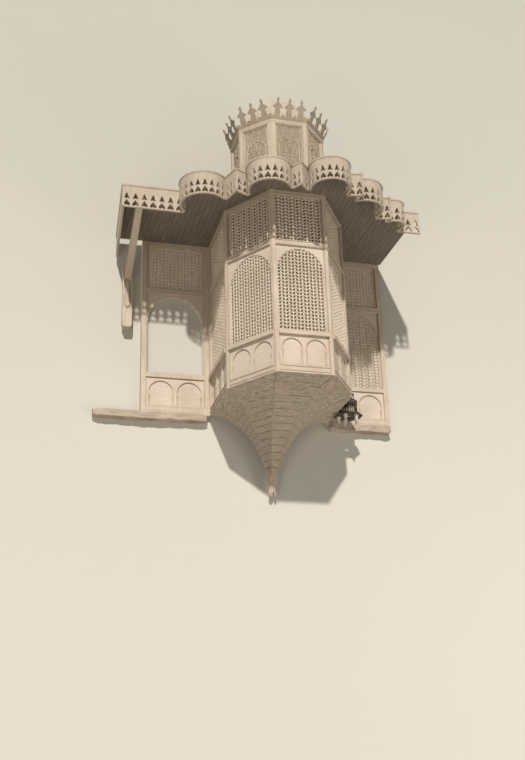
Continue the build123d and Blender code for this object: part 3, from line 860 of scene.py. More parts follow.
@dataclass
class SubAssembly:
    """What sub-assemblies share: the finishes and the way a piece is handed over."""

    finishes: Finishes

    def hand_over(
        self,
        name: str,
        mesh: Mesh,
        finish: str,
        slot: str,
        replaced: Sequence[str] = (),
        smooth_under: float = 32.0,
    ) -> None:
        """Make a mesh a piece of the object.

        Args:
            name: the piece's name.
            mesh: its mesh, in place.
            finish: the name of its finish.
            slot: the slot that it belongs to, which is not used.
            replaced: the CAD nodes that it stands for.
            smooth_under: edges flatter than this many degrees are shaded smooth.
        """
        mesh.name = name
        mesh.materials.clear()
        mesh.materials.append(self.finishes[finish])
        mesh.polygons.foreach_set("material_index", [0] * len(mesh.polygons))
        mesh.polygons.foreach_set("use_smooth", [True] * len(mesh.polygons))
        mesh.set_sharp_from_angle(angle=radians(smooth_under))
        piece = linked(name, mesh)
        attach(piece, "root")
        if replaced:
            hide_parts(*replaced)
        mesh.calc_loop_triangles()
        log.info("%s: %d triangles", name, len(mesh.loop_triangles))

    def dress(self, node: str, finish: str) -> None:
        """Give a CAD node that stays in view its finish.

        Args:
            node: the node's name.
            finish: the name of its finish.
        """
        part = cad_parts[node]
        part.data.materials.clear()
        part.data.materials.append(self.finishes[finish])


@dataclass
class FacedAssembly(SubAssembly):
    """A sub-assembly with parts on every face of the bay and its flanks."""

    levels: Levels
    plan: BayPlan
    arch_margin: float = 0.02
    crown_gap: float = 0.03

    @property
    def faces(self) -> tuple[ScreenFace, ...]:
        """All the faces, from the bay's left return on."""
        return (*self.plan.faces, *self.plan.flanks)


class LatticeRow(Enum):
    """The two rows of turned lattices on a face."""

    UPPER = "upper"
    ARCH = "arch"


@dataclass
class TurnedScreens(FacedAssembly):
    """Every lattice of turned balls and spindles."""

    pitch: float = 0.036
    ball_radius: float = 0.0128
    spindle_end: float = 0.0052
    spindle_middle: float = 0.0072
    spindle_sides: int = 4
    plane_setback: float = 0.033
    no_arch: float = 10.0

    def unit(self, pitch_x: float, pitch_y: float) -> Mesh:
        """Two neighbouring columns of the lattice, one of them half a row higher.

        Args:
            pitch_x: distance between columns.
            pitch_y: distance between the balls of a column.

        Returns:
            The unit, centred on its own middle.
        """
        low = Vector((-pitch_x / 2, -pitch_y / 4, 0.0))
        high = Vector((pitch_x / 2, pitch_y / 4, 0.0))
        across = Vector((2 * pitch_x, 0.0, 0.0))
        up = Vector((0.0, pitch_y, 0.0))
        parts: list[Part] = []
        for ball in (low, high):
            bm = bmesh.new()
            bmesh.ops.create_icosphere(bm, subdivisions=1, radius=self.ball_radius)
            parts.append((mesh_from(bm), Matrix.Translation(ball)))
        radii = (self.spindle_end, self.spindle_middle, self.spindle_end)
        for start, end in ((low, low + up), (high, high + up), (low, high), (high, low + across)):
            parts.append(swept([start, (start + end) / 2, end], radii, self.spindle_sides))
        return merged(parts)

    def fill(self, tree: GeometryTree, face: ScreenFace, row: LatticeRow, foot: float, head: float) -> None:
        """Fill one opening with lattice.

        Args:
            tree: the lattice tree.
            face: the face that the opening is in.
            row: the row that it belongs to.
            foot: level of the opening's foot.
            head: level of its head.
        """
        width, height = face.clear, head - foot
        node, radius, spring = face.clad_node, self.no_arch, self.no_arch
        if row is LatticeRow.ARCH:
            node, radius = face.arch_node, width / 2 - self.arch_margin
            spring = height - self.crown_gap - radius
        pairs = max(1, round(width / (2 * self.pitch)))
        rows = max(1, round(height / self.pitch))
        lattice = tree.run(
            self.unit(width / pairs / 2, height / rows), self.finishes["lattice"],
            width=width, height=height, pairs=pairs, rows=rows, arch_radius=radius, spring=spring,
        )
        lattice.transform(face.place(foot, self.plane_setback))
        self.hand_over(f"turned_{row.value}_{face.name}", lattice, "lattice", "lattice", [node], 60)

    def build(self) -> None:
        """Make the upper and the arched lattice of each face."""
        tree = lattice_tree()
        upper, arched, _ = self.levels.openings
        for face in self.faces:
            self.fill(tree, face, LatticeRow.UPPER, *upper)
            if not face.open_arch:
                self.fill(tree, face, LatticeRow.ARCH, *arched)


@dataclass
class SpandrelBoards(FacedAssembly):
    """Boards with a lobed arch round each arched opening."""

    thickness: float = 0.026
    setback: float = 0.018
    lobes: int = 15
    lobe_depth: float = 0.011
    lobe_share: float = 0.4
    steps_per_lobe: int = 6

    def lobed_arch(self, width: float, height: float) -> Outline:
        """Outline of an opening whose round head is a row of small lobes.

        Args:
            width: the board's width.
            height: the board's height.

        Returns:
            The outline.
        """
        radius = width / 2 - self.arch_margin + self.lobe_depth * self.lobe_share
        spring = height - self.crown_gap - radius
        points = [(width / 2 - radius, 0.0), (width / 2 - radius, spring)]
        steps = self.lobes * self.steps_per_lobe
        for step in range(1, steps):
            angle = pi - pi * step / steps
            bulge = abs(sin(pi * step / self.steps_per_lobe))
            reach = radius - self.lobe_depth * (1 - bulge)
            points.append((width / 2 + reach * cos(angle), spring + reach * sin(angle)))
        return points + [(width / 2 + radius, spring), (width / 2 + radius, 0.0)]

    def build(self) -> None:
        """Make one board for each arched opening."""
        _, (foot, head), _ = self.levels.openings
        for face in self.faces:
            width, height = face.clear, head - foot
            outer = [(0.0, 0.0), *self.lobed_arch(width, height), *rectangle(width, height)[1:]]
            board = moved(
                cut_board([outer], self.thickness), face.place(foot, self.setback + self.thickness / 2),
            )
            replaced = [face.arch_node] if face.open_arch else []
            self.hand_over(f"arch_board_{face.name}", board, "panels", "panels", replaced, 20)


@dataclass
class Parapets(FacedAssembly):
    """Panels under the sill, with blind arches on small colonettes."""

    front_setback: float = 0.018
    front_thickness: float = 0.011
    back_thickness: float = 0.015
    side_margin: float = 0.03
    mullion: float = 0.034
    bead_radius: float = 0.0042
    colonette_radius: float = 0.0055
    colonette_reach: float = 0.96
    highest_radius: float = 0.42
    horseshoe: float = 0.25
    arch_steps: int = 20

    NODES = {"bay": "bay_parapets", "left_flank": "left_flank_parapet", "right_flank": "right_flank_parapet"}

    def colonette(self, height: float) -> Mesh:
        """Turned colonette with a base and a capital, standing along local Y.

        Args:
            height: its height.

        Returns:
            The colonette.
        """
        shares = (
            (1.7, 0.0), (1.7, 0.008), (1.0, 0.016), (0.9, height * 0.5), (1.0, height - 0.03),
            (1.5, height - 0.026), (1.2, height - 0.02), (1.9, height - 0.006), (1.9, height),
        )
        profile = [(self.colonette_radius * share, level) for share, level in shares]
        return moved(turned(profile, 8), STAND_UP.inverted())

    def arch(self, centre: float, radius: float, spring: float) -> Outline:
        """Line of a round arch that turns in at its feet, from left to right.

        Args:
            centre: the arch's middle.
            radius: its radius.
            spring: height of its centre.

        Returns:
            The line.
        """
        turn, inner, steps = self.horseshoe, radius * cos(self.horseshoe), self.arch_steps
        angles = [pi + turn - (pi + 2 * turn) * step / steps for step in range(steps + 1)]
        head = [(centre + radius * cos(angle), spring + radius * sin(angle)) for angle in angles]
        return [(centre - inner, 0.0), *head, (centre + inner, 0.0)]

    def build(self) -> None:
        """Make every parapet panel and hang its colonettes on it."""
        _, _, (foot, head) = self.levels.openings
        height = head - foot
        boards: dict[str, list[Part]] = {home: [] for home in self.NODES}
        trim: dict[str, list[Part]] = {home: [] for home in self.NODES}
        for face in self.faces:
            home = face.name if face in self.plan.flanks else "bay"
            width, count = face.clear, face.blind_arches
            opening = (width - 2 * self.side_margin - (count - 1) * self.mullion) / count
            radius = min(opening / 2, height * self.highest_radius)
            spring = height - self.crown_gap - radius
            place = face.place(foot, self.front_setback)
            outer = [(0.0, 0.0)]
            for index in range(count):
                centre = self.side_margin + opening / 2 + index * (opening + self.mullion)
                arch = self.arch(centre, radius, spring)
                outer += arch
                trim[home].append((swept(lifted(arch), self.bead_radius), place))
                for side in (-1, 1):
                    post = self.colonette(spring - radius * sin(self.horseshoe))
                    at = Matrix.Translation((centre + side * radius * self.colonette_reach, 0.0, 0.0))
                    trim[home].append((post, place @ at))
            front = cut_board([outer + rectangle(width, height)[1:]], self.front_thickness)
            back = cut_board([rectangle(width, height)], self.back_thickness)
            middle = self.front_setback + self.front_thickness
            boards[home].append((front, face.place(foot, middle - self.front_thickness / 2)))
            boards[home].append((back, face.place(foot, middle + self.back_thickness / 2)))
        for home, node in self.NODES.items():
            self.hand_over(f"blind_arches_{home}", merged(boards[home]), "panels", "panels", [node], 20)
            self.hand_over(f"colonettes_{home}", merged(trim[home]), "joinery", "joinery", (), 40)


@dataclass(frozen=True)
class Bow:
    """Part of a circle in plan between two cusps, with its sagitta as a share of its chord."""

    start: Point
    end: Point
    bulge: float

    def circle(self) -> tuple[Vector, float, float]:
        """Centre, radius and half angle of the bow.

        Returns:
            The three of them.
        """
        first, second = lifted((self.start, self.end))
        chord = (second - first).length
        reach = chord * self.bulge
        radius = (chord * chord / 4 + reach * reach) / (2 * reach)
        _, out = plan_axes(self.start, self.end)
        half_angle = pi - atan2(chord / 2, reach - radius)
        return (first + second) / 2 + out * (reach - radius), radius, half_angle


@dataclass
class CanopyPlan:
    """Plan of the canopy's edge from the left wing round the bows to the right wing."""

    left: float
    right: float
    left_depth: float = 1.03
    right_depth: float = 1.12
    left_at_wall: float = 1.61
    bows: tuple[Bow, ...] = (
        Bow((-1.09, -1.03), (-0.748, -1.343), 0.53),
        Bow((-0.545, -1.463), (-0.178, -1.671), 0.57),
        Bow((-0.01, -1.671), (0.374, -1.665), 0.68),
        Bow((0.489, -1.579), (0.794, -1.314), 0.42),
        Bow((0.93, -1.262), (1.1, -1.12), 0.6),
    )
    ridges: tuple[Point, ...] = ((-0.685, -1.53), (-0.109, -1.773), (0.533, -1.699), (0.955, -1.341))


@dataclass(frozen=True)
class Piercing:
    """A hole of the valance: its right half, as shares of its width and height, and its size."""

    half: Outline
    foot_share: float
    width_share: float
    widest: float
    height_share: float = 0.42
    nick: float = 0.12

    def outline(self, pitch: float, lip: float, pierced: float) -> Outline:
        """Outline of the hole in the middle of a tile, with a nick in its foot.

        Args:
            pitch: the tile's width.
            lip: height of the plain lip under the pierced band.
            pierced: height of the pierced band.

        Returns:
            The outline.
        """
        width = min(pitch * self.width_share, self.widest)
        height = pierced * self.height_share
        foot = lip + pierced * self.foot_share
        right = [(pitch / 2 + x * width, foot + y * height) for x, y in self.half]
        left = [(pitch - x, y) for x, y in reversed(right)]
        return [(pitch / 2, foot + self.nick * height), *right, (pitch / 2, foot + height), *left]


@dataclass
class Valance(SubAssembly):
    """Boards round the canopy: a plain band over a band pierced in two rows."""

    canopy: CanopyPlan
    top: float
    bottom: float
    thickness: float = 0.02
    plain_share: float = 0.36
    wing_pitch: float = 0.088
    bow_pitch: float = 0.068
    lip: float = 0.013
    column_width: float = 0.012
    top_bead: float = 0.0155
    fascia_bead: float = 0.0045
    fascia_drop: float = 0.043
    band_bead: float = 0.004
    lip_bead: float = 0.0075
    lip_bead_rise: float = 0.005
    bead_setback: float = 0.006
    bow_steps: int = 40

    HOLES = (
        Piercing((
            (0.16, 0.0), (0.5, 0.0), (0.5, 0.14), (0.45, 0.36), (0.35, 0.55), (0.2, 0.7), (0.1, 0.77),
            (0.09, 0.88),
        ), foot_share=0.0, width_share=0.84, widest=0.066),
        Piercing((
            (0.2, 0.0), (0.5, 0.0), (0.46, 0.18), (0.34, 0.32), (0.27, 0.46), (0.33, 0.56), (0.24, 0.68),
            (0.13, 0.75), (0.12, 0.88),
        ), foot_share=0.47, width_share=0.7, widest=0.053),
    )

    def tile(self, pitch: float) -> Mesh:
        """One column of the valance with its two holes, in narrow strips so that it can bend.

        Args:
            pitch: its width.

        Returns:
            The tile, open at both ends.
        """
        height = self.top - self.bottom
        holes = [hole.outline(pitch, self.lip, height * (1 - self.plain_share)) for hole in self.HOLES]
        bm = bmesh_of(cut_board([rectangle(pitch, height), *holes], self.thickness))
        strips = ceil(pitch / self.column_width)
        for strip in range(1, strips):
            geometry = bm.verts[:] + bm.edges[:] + bm.faces[:]
            cut = (pitch * strip / strips, 0.0, 0.0)
            bmesh.ops.bisect_plane(bm, geom=geometry, plane_co=cut, plane_no=(1.0, 0.0, 0.0), dist=1e-6)
        ends = [
            face for face in bm.faces
            if any(all(abs(vertex.co.x - end) < 1e-6 for vertex in face.verts) for end in (0.0, pitch))
        ]
        bmesh.ops.delete(bm, geom=ends, context="FACES_ONLY")
        return mesh_from(bm, outwards=False)

    def run_of(self, tree: GeometryTree, length: float, pitch: float, radius: float = 0.0) -> Mesh:
        """Straight or bent run of tiles, starting at the local origin.

        Args:
            tree: the band tree.
            length: the run's length.
            pitch: a tile's usual width.
            radius: the bend's radius, or 0 for a straight run.

        Returns:
            The run, closed at both ends.
        """
        tiles = max(1, round(length / pitch))
        mesh = tree.run(
            self.tile(length / tiles), self.finishes["valance_paint"],
            tiles=tiles, pitch=length / tiles, bent=radius > 0.0, bend_radius=max(radius, 0.01),
        )
        bm = bmesh_of(mesh)
        bmesh.ops.holes_fill(bm, edges=[edge for edge in bm.edges if edge.is_boundary], sides=0)
        return mesh_from(bm, weld=1e-6)

    def moulding(self, path: Sequence[Vector]) -> list[Part]:
        """Beads along the top edge, on the fascia, under the plain band and along the lip.

        Args:
            path: points along the valance.

        Returns:
            The beads.
        """
        levels = (
            (self.top - self.top_bead + 0.001, self.top_bead),
            (self.top - self.fascia_drop, self.fascia_bead),
            (self.top - (self.top - self.bottom) * self.plain_share, self.band_bead),
            (self.bottom + self.lip_bead_rise, self.lip_bead),
        )
        plan = [(point.x, point.y) for point in path]
        return [swept(lifted(plan, level), radius) for level, radius in levels]

    def straight(self, tree: GeometryTree, first: Point, second: Point, pitch: float) -> list[Part]:
        """Straight length of valance between two points of the plan, with its beads.

        Args:
            tree: the band tree.
            first: its start.
            second: its end.
            pitch: a tile's usual width.

        Returns:
            The board and its beads.
        """
        run = ScreenFace("run", first, second)
        _, out = plan_axes(first, second)
        path = [point - out * self.bead_setback for point in lifted((first, second))]
        board = self.run_of(tree, run.length, pitch)
        return [(board, run.place(self.bottom, self.thickness / 2)), *self.moulding(path)]

    def bent(self, tree: GeometryTree, bow: Bow) -> list[Part]:
        """Bow of valance between two cusps, with its beads.

        Args:
            tree: the band tree.
            bow: the bow.

        Returns:
            The board and its beads.
        """
        centre, radius, half_angle = bow.circle()
        middle_radius = radius - self.thickness / 2
        board = self.run_of(tree, 2 * half_angle * middle_radius, self.bow_pitch, middle_radius)
        along, out = plan_axes(bow.start, bow.end)
        place = axes_matrix(along, UPWARDS, out, (centre.x, centre.y, self.bottom))
        start = Matrix.Rotation(-half_angle, 4, "Y") @ Matrix.Translation((0.0, 0.0, middle_radius))
        reach = radius - self.bead_setback
        angles = [half_angle * (2 * step / self.bow_steps - 1) for step in range(self.bow_steps + 1)]
        path = [centre + (along * sin(angle) + out * cos(angle)) * reach for angle in angles]
        return [(board, place @ start), *self.moulding(path)]

    def build(self) -> None:
        """Make the wings, the side, the bows and the folds."""
        tree = band_tree()
        canopy, bows = self.canopy, self.canopy.bows
        left_corner = (-canopy.left, -canopy.left_depth)
        right_corner = (canopy.right, -canopy.right_depth)
        groups = {
            "left_wing": self.straight(tree, left_corner, bows[0].start, self.wing_pitch),
            "right_wing": self.straight(tree, bows[-1].end, right_corner, self.wing_pitch),
            "left_side": self.straight(tree, (-canopy.left_at_wall, 0.0), left_corner, self.wing_pitch),
            "bows": [part for bow in bows for part in self.bent(tree, bow)],
            "folds": [],
        }
        for before, ridge, after in zip(bows, canopy.ridges, bows[1:]):
            groups["folds"] += self.straight(tree, before.end, ridge, self.bow_pitch)
            groups["folds"] += self.straight(tree, ridge, after.start, self.bow_pitch)
        for name, parts in groups.items():
            nodes = [f"valance_{name}"]
            self.hand_over(f"pierced_{name}", merged(parts), "valance_paint", "valance_paint", nodes, 30)


@dataclass
class Corbel(SubAssembly):
    """Boarded underside that sweeps in to a carved tip."""

    plan: BayPlan
    height: float = 0.82
    neck_scale: float = 0.05
    boarded: float = 0.62
    courses: int = 14
    course_ease: float = 1.6
    board_thickness: float = 0.018
    joint: float = 0.0026
    easing: float = 1.6
    top_steps: int = 12
    steps_per_course: int = 3
    edge_radius: float = 0.0045
    edge_steps: int = 26
    strands: int = 9
    strand_radius: float = 0.0135
    strand_sides: int = 8
    strand_steps: int = 22
    overlap: float = 0.03
    tip_top: float = 0.05
    tip_bottom: float = 0.022
    tip_depth: float = 0.75
    tip_ease: float = 0.8
    core_share: float = 0.9
    sway: float = 0.0035
    sway_half_turns: float = 3.4
    parting: float = 0.72
    parted_by: float = 0.011
    swell: float = 0.16
    swell_half_turns: float = 5.0
    taper: float = 0.42

    MITRE = radians(22.5)
    CORE = ((0.0, 1.0), (0.3, 0.8), (0.6, 0.62), (0.9, 0.3))

    def scale(self, drop: float) -> float:
        """Plan scale at a depth under the bay."""
        rise = 1 - drop / self.height
        return 1 - (1 - self.neck_scale) * sqrt(max(0.0, 1 - rise * rise))

    def gap(self, drop: float) -> float:
        """Half an open joint at a depth, as a drop: less where the boards run nearly level.

        Args:
            drop: the depth.

        Returns:
            Half the joint.
        """
        step = 1e-4
        run = (self.scale(drop) - self.scale(drop + step)) / step
        return self.joint / hypot(1.0, run)

    def corner(self, point: Point, drop: float) -> Vector:
        """Place of a corner of the bay's plan at a depth."""
        scale = self.scale(drop)
        return Vector((point[0] * scale, point[1] * scale, -drop))

    def drops(self, top: float, bottom: float) -> list[float]:
        """Depths of a board's sections, from the bay's floor or a joint to the joint under the board.

        Args:
            top: depth of the board's top.
            bottom: depth of its foot.

        Returns:
            The depths, downwards.
        """
        gap = self.gap(bottom)
        if top == 0.0:
            drops = [(bottom - gap) * (step / self.top_steps) ** 2 for step in range(self.top_steps)]
        else:
            drops = [top + self.gap(top), top + 2 * self.gap(top)]
            shares = [step / self.steps_per_course for step in range(1, self.steps_per_course)]
            drops += [top + (bottom - top) * share for share in shares]
        return drops + [bottom - 2 * gap, bottom - gap]

    def board(self, first: Point, second: Point, top: float, bottom: float) -> Mesh:
        """One curved board between two levels of one face, a little eased at its long edges.

        Args:
            first: one corner of the bay's plan.
            second: the next corner.
            top: depth of the board's top.
            bottom: depth of its foot.

        Returns:
            The board.
        """
        ahead, out = plan_axes(first, second)
        drops = self.drops(top, bottom)
        rings = []
        for index, drop in enumerate(drops):
            at_joint = (index == 0 and top) or index == len(drops) - 1
            eased = out * (self.joint * self.easing if at_joint else 0.0)
            left = self.corner(first, drop) + ahead * self.joint * 0.5
            right = self.corner(second, drop) - ahead * self.joint * 0.5
            shrink = ahead * min(self.board_thickness * tan(self.MITRE), (right - left).length * 0.45)
            inwards = out * self.board_thickness
            rings.append([left - eased, right - eased, right - inwards - shrink, left - inwards + shrink])
        return rings_to_mesh(rings)

    def build(self) -> None:
        """Make the boards, the light edges at the corners and the carved tip."""
        corners = self.plan.corners
        shares = [(course / self.courses) ** self.course_ease for course in range(self.courses + 1)]
        drops = [self.boarded * share for share in shares]
        boards = [
            self.board(first, second, top, bottom)
            for first, second in zip(corners, corners[1:])
            for top, bottom in zip(drops, drops[1:])
        ]
        nodes = ["corbel_boarding"]
        self.hand_over("corbel_boards", merged(boards), "corbel_boards", "corbel_boards", nodes, 25)
        depths = [self.boarded * step / self.edge_steps for step in range(self.edge_steps + 1)]
        edges = [
            swept([self.corner(corner, drop) for drop in depths], self.edge_radius)
            for corner in corners[1:-1]
        ]
        self.hand_over("corbel_edges", merged(edges), "corbel_edges", "corbel_boards", ["corbel_ribs"], 50)
        tip = [self.strand(index) for index in range(self.strands)] + [self.core()]
        self.hand_over("carved_tip", merged(tip), "corbel_edges", "corbel_boards", ["corbel_pendant"], 60)

    def tip_level(self, share: float) -> float:
        """Level at a share of the tip's length."""
        head = self.boarded - self.overlap
        return -head - (self.height - head) * share

    def strand(self, index: int) -> Mesh:
        """One strand, which runs on from the boards, gathers in and parts to its own side.

        Args:
            index: its place from left to right.

        Returns:
            The strand.
        """
        side = -1 + 2 * index / (self.strands - 1)
        turn = side * pi / 2
        line = []
        radii = []
        for step in range(self.strand_steps + 1):
            share = step / self.strand_steps
            reach = self.tip_top + (self.tip_bottom - self.tip_top) * share ** self.tip_ease
            wave = self.sway * sin(share * self.sway_half_turns * pi + index * 2.1)
            way = 1 if side > 0 else -1
            parted = way * self.parted_by * max(0.0, share - self.parting) / (1 - self.parting)
            x = reach * sin(turn) + wave + parted
            y = -reach * self.tip_depth * (1.1 + cos(turn))
            line.append(Vector((x, y, self.tip_level(share))))
            swell = 1 + self.swell * sin(share * self.swell_half_turns * pi + index * 1.7)
            ending = min(1.0, 4 * (1.04 - share))
            radii.append(self.strand_radius * swell * (1 - self.taper * share) * ending)
        return swept(line, radii, self.strand_sides)

    def core(self) -> Mesh:
        """Solid core behind the strands.

        Returns:
            The core.
        """
        rings = []
        for share, scale in self.CORE:
            reach = self.tip_top * scale * self.core_share
            turns = [pi * (0.5 - step / 8) for step in range(9)]
            plan = [(reach * sin(turn), -reach * self.tip_depth * (0.6 + cos(turn))) for turn in turns]
            rings.append(lifted(plan, self.tip_level(share)))
        return rings_to_mesh(rings)


@dataclass
class RailMouldings(FacedAssembly):
    """Beads along the rails and round the openings of every face."""

    bead: float = 0.0055
    nosing: float = 0.0095
    frame_bead: float = 0.0042
    frame_gap: float = 0.002
    rail_setback: float = 0.003
    frame_setback: float = 0.019
    skirting_drop: float = 0.045

    def build(self) -> None:
        """Run the beads over each face."""
        levels = self.levels
        rails = {
            levels.top_bottom: self.bead,
            levels.mid_bottom: self.nosing,
            levels.mid_top: self.bead,
            levels.base_top: self.bead,
            levels.base_top - self.skirting_drop: self.bead,
        }
        inset = self.frame_bead + self.frame_gap
        parts: list[Part] = []
        for face in self.faces:
            rail = lifted(((0.0, 0.0), (face.clear, 0.0)))
            for level, radius in rails.items():
                parts.append((swept(rail, radius), face.place(level, self.rail_setback)))
            for foot, head in levels.openings:
                corners = lifted(rectangle(face.clear - inset, head - inset, inset, foot + inset))
                place = face.place(0.0, self.frame_setback)
                parts += [(bar, place) for bar in frame_of(corners, self.frame_bead)]
        self.hand_over("rail_mouldings", merged(parts), "joinery", "joinery", (), 40)


@dataclass
class SillBeams(SubAssembly):
    """Rough hewn beams under the flanking screens, worn and split at their ends."""

    slices: int = 44
    wear: float = 0.007
    split: float = 0.016
    split_slices: float = 1.5
    crumble: float = 0.012

    SECTION = (
        (-1, -1), (-0.3, -1), (0.4, -1), (1, -1), (1, -0.2), (1, 0.5), (1, 1), (0.2, 1), (-0.5, 1), (-1, 1),
        (-1, 0.3), (-1, -0.4),
    )
    SEEDS = {"left_sill_beam": 0.4, "right_sill_beam": 2.2}

    # Height, rate, the rate's change from corner to corner, and the shifts by corner and by seed
    WAVES = ((0.7, 9.0, 2.3, 0.0, 1.0), (0.5, 41.0, -1.7, 4.3, 0.0), (0.35, 97.0, 0.0, 7.7, 2.0))

    def corner(self, index: int, share: float, seed: float) -> tuple[float, float]:
        """How far a corner of the section is worn in, and how far back it runs from the beam's end.

        Args:
            index: the corner's place in the section.
            share: place along the beam.
            seed: number that sets the beam apart from the other.

        Returns:
            The wear and the run.
        """
        end = min(share, 1 - share) * self.slices
        wave = sum(
            height * sin(share * (rate + change * index) + index * shift + seed * own)
            for height, rate, change, shift, own in self.WAVES
        )
        pinch = self.wear * (1.1 + 0.7 * wave)
        if end < self.split_slices:
            pinch += self.crumble * (self.split_slices - end) * (1 + sin(index * 3.1 + seed)) / 2
        ragged = abs(self.split * sin(index * 2.7 + seed)) if end < 1 else 0.0
        return pinch, ragged if share < 0.5 else -ragged

    def beam(self, node: str, seed: float) -> Mesh:
        """One beam of uneven section that fills the box of its CAD node.

        Args:
            node: the node's name.
            seed: number that sets it apart from the other.

        Returns:
            The beam.
        """
        low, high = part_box(node)
        middle, half = (low + high) / 2, (high - low) / 2
        rings = []
        for step in range(self.slices + 1):
            share = step / self.slices
            ring = []
            for index, (y, z) in enumerate(self.SECTION):
                pinch, run = self.corner(index, share, seed)
                ring.append(Vector((
                    low.x + 2 * half.x * share + run,
                    middle.y + y * (half.y - pinch * (0.4 if y > 0 else 1.0)),
                    middle.z + z * (half.z - pinch * (0.3 if z > 0.9 else 1.0)),
                )))
            rings.append(ring)
        return rings_to_mesh(rings)

    def build(self) -> None:
        """Make both beams."""
        for node, seed in self.SEEDS.items():
            beam = self.beam(node, seed)
            self.hand_over(f"rough_{node}", beam, "rough_timber", "rough_timber", [node], 35)


@dataclass
class Bracket(SubAssembly):
    """Wall post with a shouldered head and a tongue in a groove, and its strut."""

    groove_low: float = 0.29
    groove_high: float = 0.72
    groove_half: float = 0.036
    groove_depth: float = 0.022
    groove_steps: int = 8
    tongue_half: float = 0.017
    tongue_share: float = 0.85
    tongue_middle: float = 0.42
    tongue_shoulder: float = 0.04
    tongue_tip: float = 0.016
    tongue_rise: float = 0.02
    groove_rise: float = 0.03
    post_cut: float = 0.012
    post_rise: float = 0.03
    head_drop: float = 0.12
    head_cut: float = 0.045
    edge: float = 0.007

    def post(self) -> Mesh:
        """The wall post, built as boards cut to outline and stacked away from the wall.

        Returns:
            The post.
        """
        low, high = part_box("bracket_post")
        half, height = (high.x - low.x) / 2, high.z - low.z
        cut, rise = self.post_cut, self.post_rise
        outline = [
            (-half + cut, 0.0), (half - cut, 0.0), (half, rise), (half, height - self.head_drop),
            (half - cut, height - self.head_drop / 2), (half - self.head_cut, height),
            (-half, height), (-half, rise),
        ]
        foot, head = height * self.groove_low, height * self.groove_high
        radius, tongue = self.groove_half, self.tongue_half
        angles = [pi + pi * step / self.groove_steps for step in range(self.groove_steps + 1)]
        groove = [
            (-radius, head),
            *((radius * cos(angle), foot + radius * (1 + sin(angle))) for angle in angles),
            (radius, head), (radius / 2, head + self.groove_rise), (-radius / 2, head + self.groove_rise),
        ]
        shoulder = foot + self.tongue_shoulder
        raised = [
            (-tongue, head), (-tongue, shoulder), (0.0, foot + self.tongue_tip), (tongue, shoulder),
            (tongue, head), (0.0, head + self.tongue_rise),
        ]
        depth = self.groove_depth
        back = high.y - low.y - depth
        boards = (
            (cut_board([outline], back), back / 2),
            (cut_board([outline, groove], depth), back + depth / 2),
            (cut_board([raised], depth * self.tongue_share), back + depth * self.tongue_middle),
        )
        upright = Matrix.Translation(((low.x + high.x) / 2, high.y, low.z)) @ STAND_UP
        return merged((board, upright @ Matrix.Translation((0.0, 0.0, out))) for board, out in boards)

    def strut(self) -> Mesh:
        """The strut with its edges chamfered.

        Returns:
            The strut.
        """
        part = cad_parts["bracket_strut"]
        bm = bmesh_of(part.data)
        bmesh.ops.transform(bm, matrix=part.matrix_world, verts=bm.verts[:])
        bmesh.ops.remove_doubles(bm, verts=bm.verts[:], dist=1e-5)
        bmesh.ops.dissolve_limit(bm, angle_limit=radians(1), verts=bm.verts[:], edges=bm.edges[:])
        bmesh.ops.bevel(bm, geom=bm.edges[:], offset=self.edge, segments=1, affect="EDGES", profile=0.5)
        return mesh_from(bm)

    def build(self) -> None:
        """Make the post and the strut."""
        self.hand_over("bracket_wall_post", self.post(), "joinery", "joinery", ["bracket_post"], 20)
        nodes = ["bracket_strut"]
        self.hand_over("bracket_chamfered_strut", self.strut(), "strut_wood", "joinery", nodes, 20)


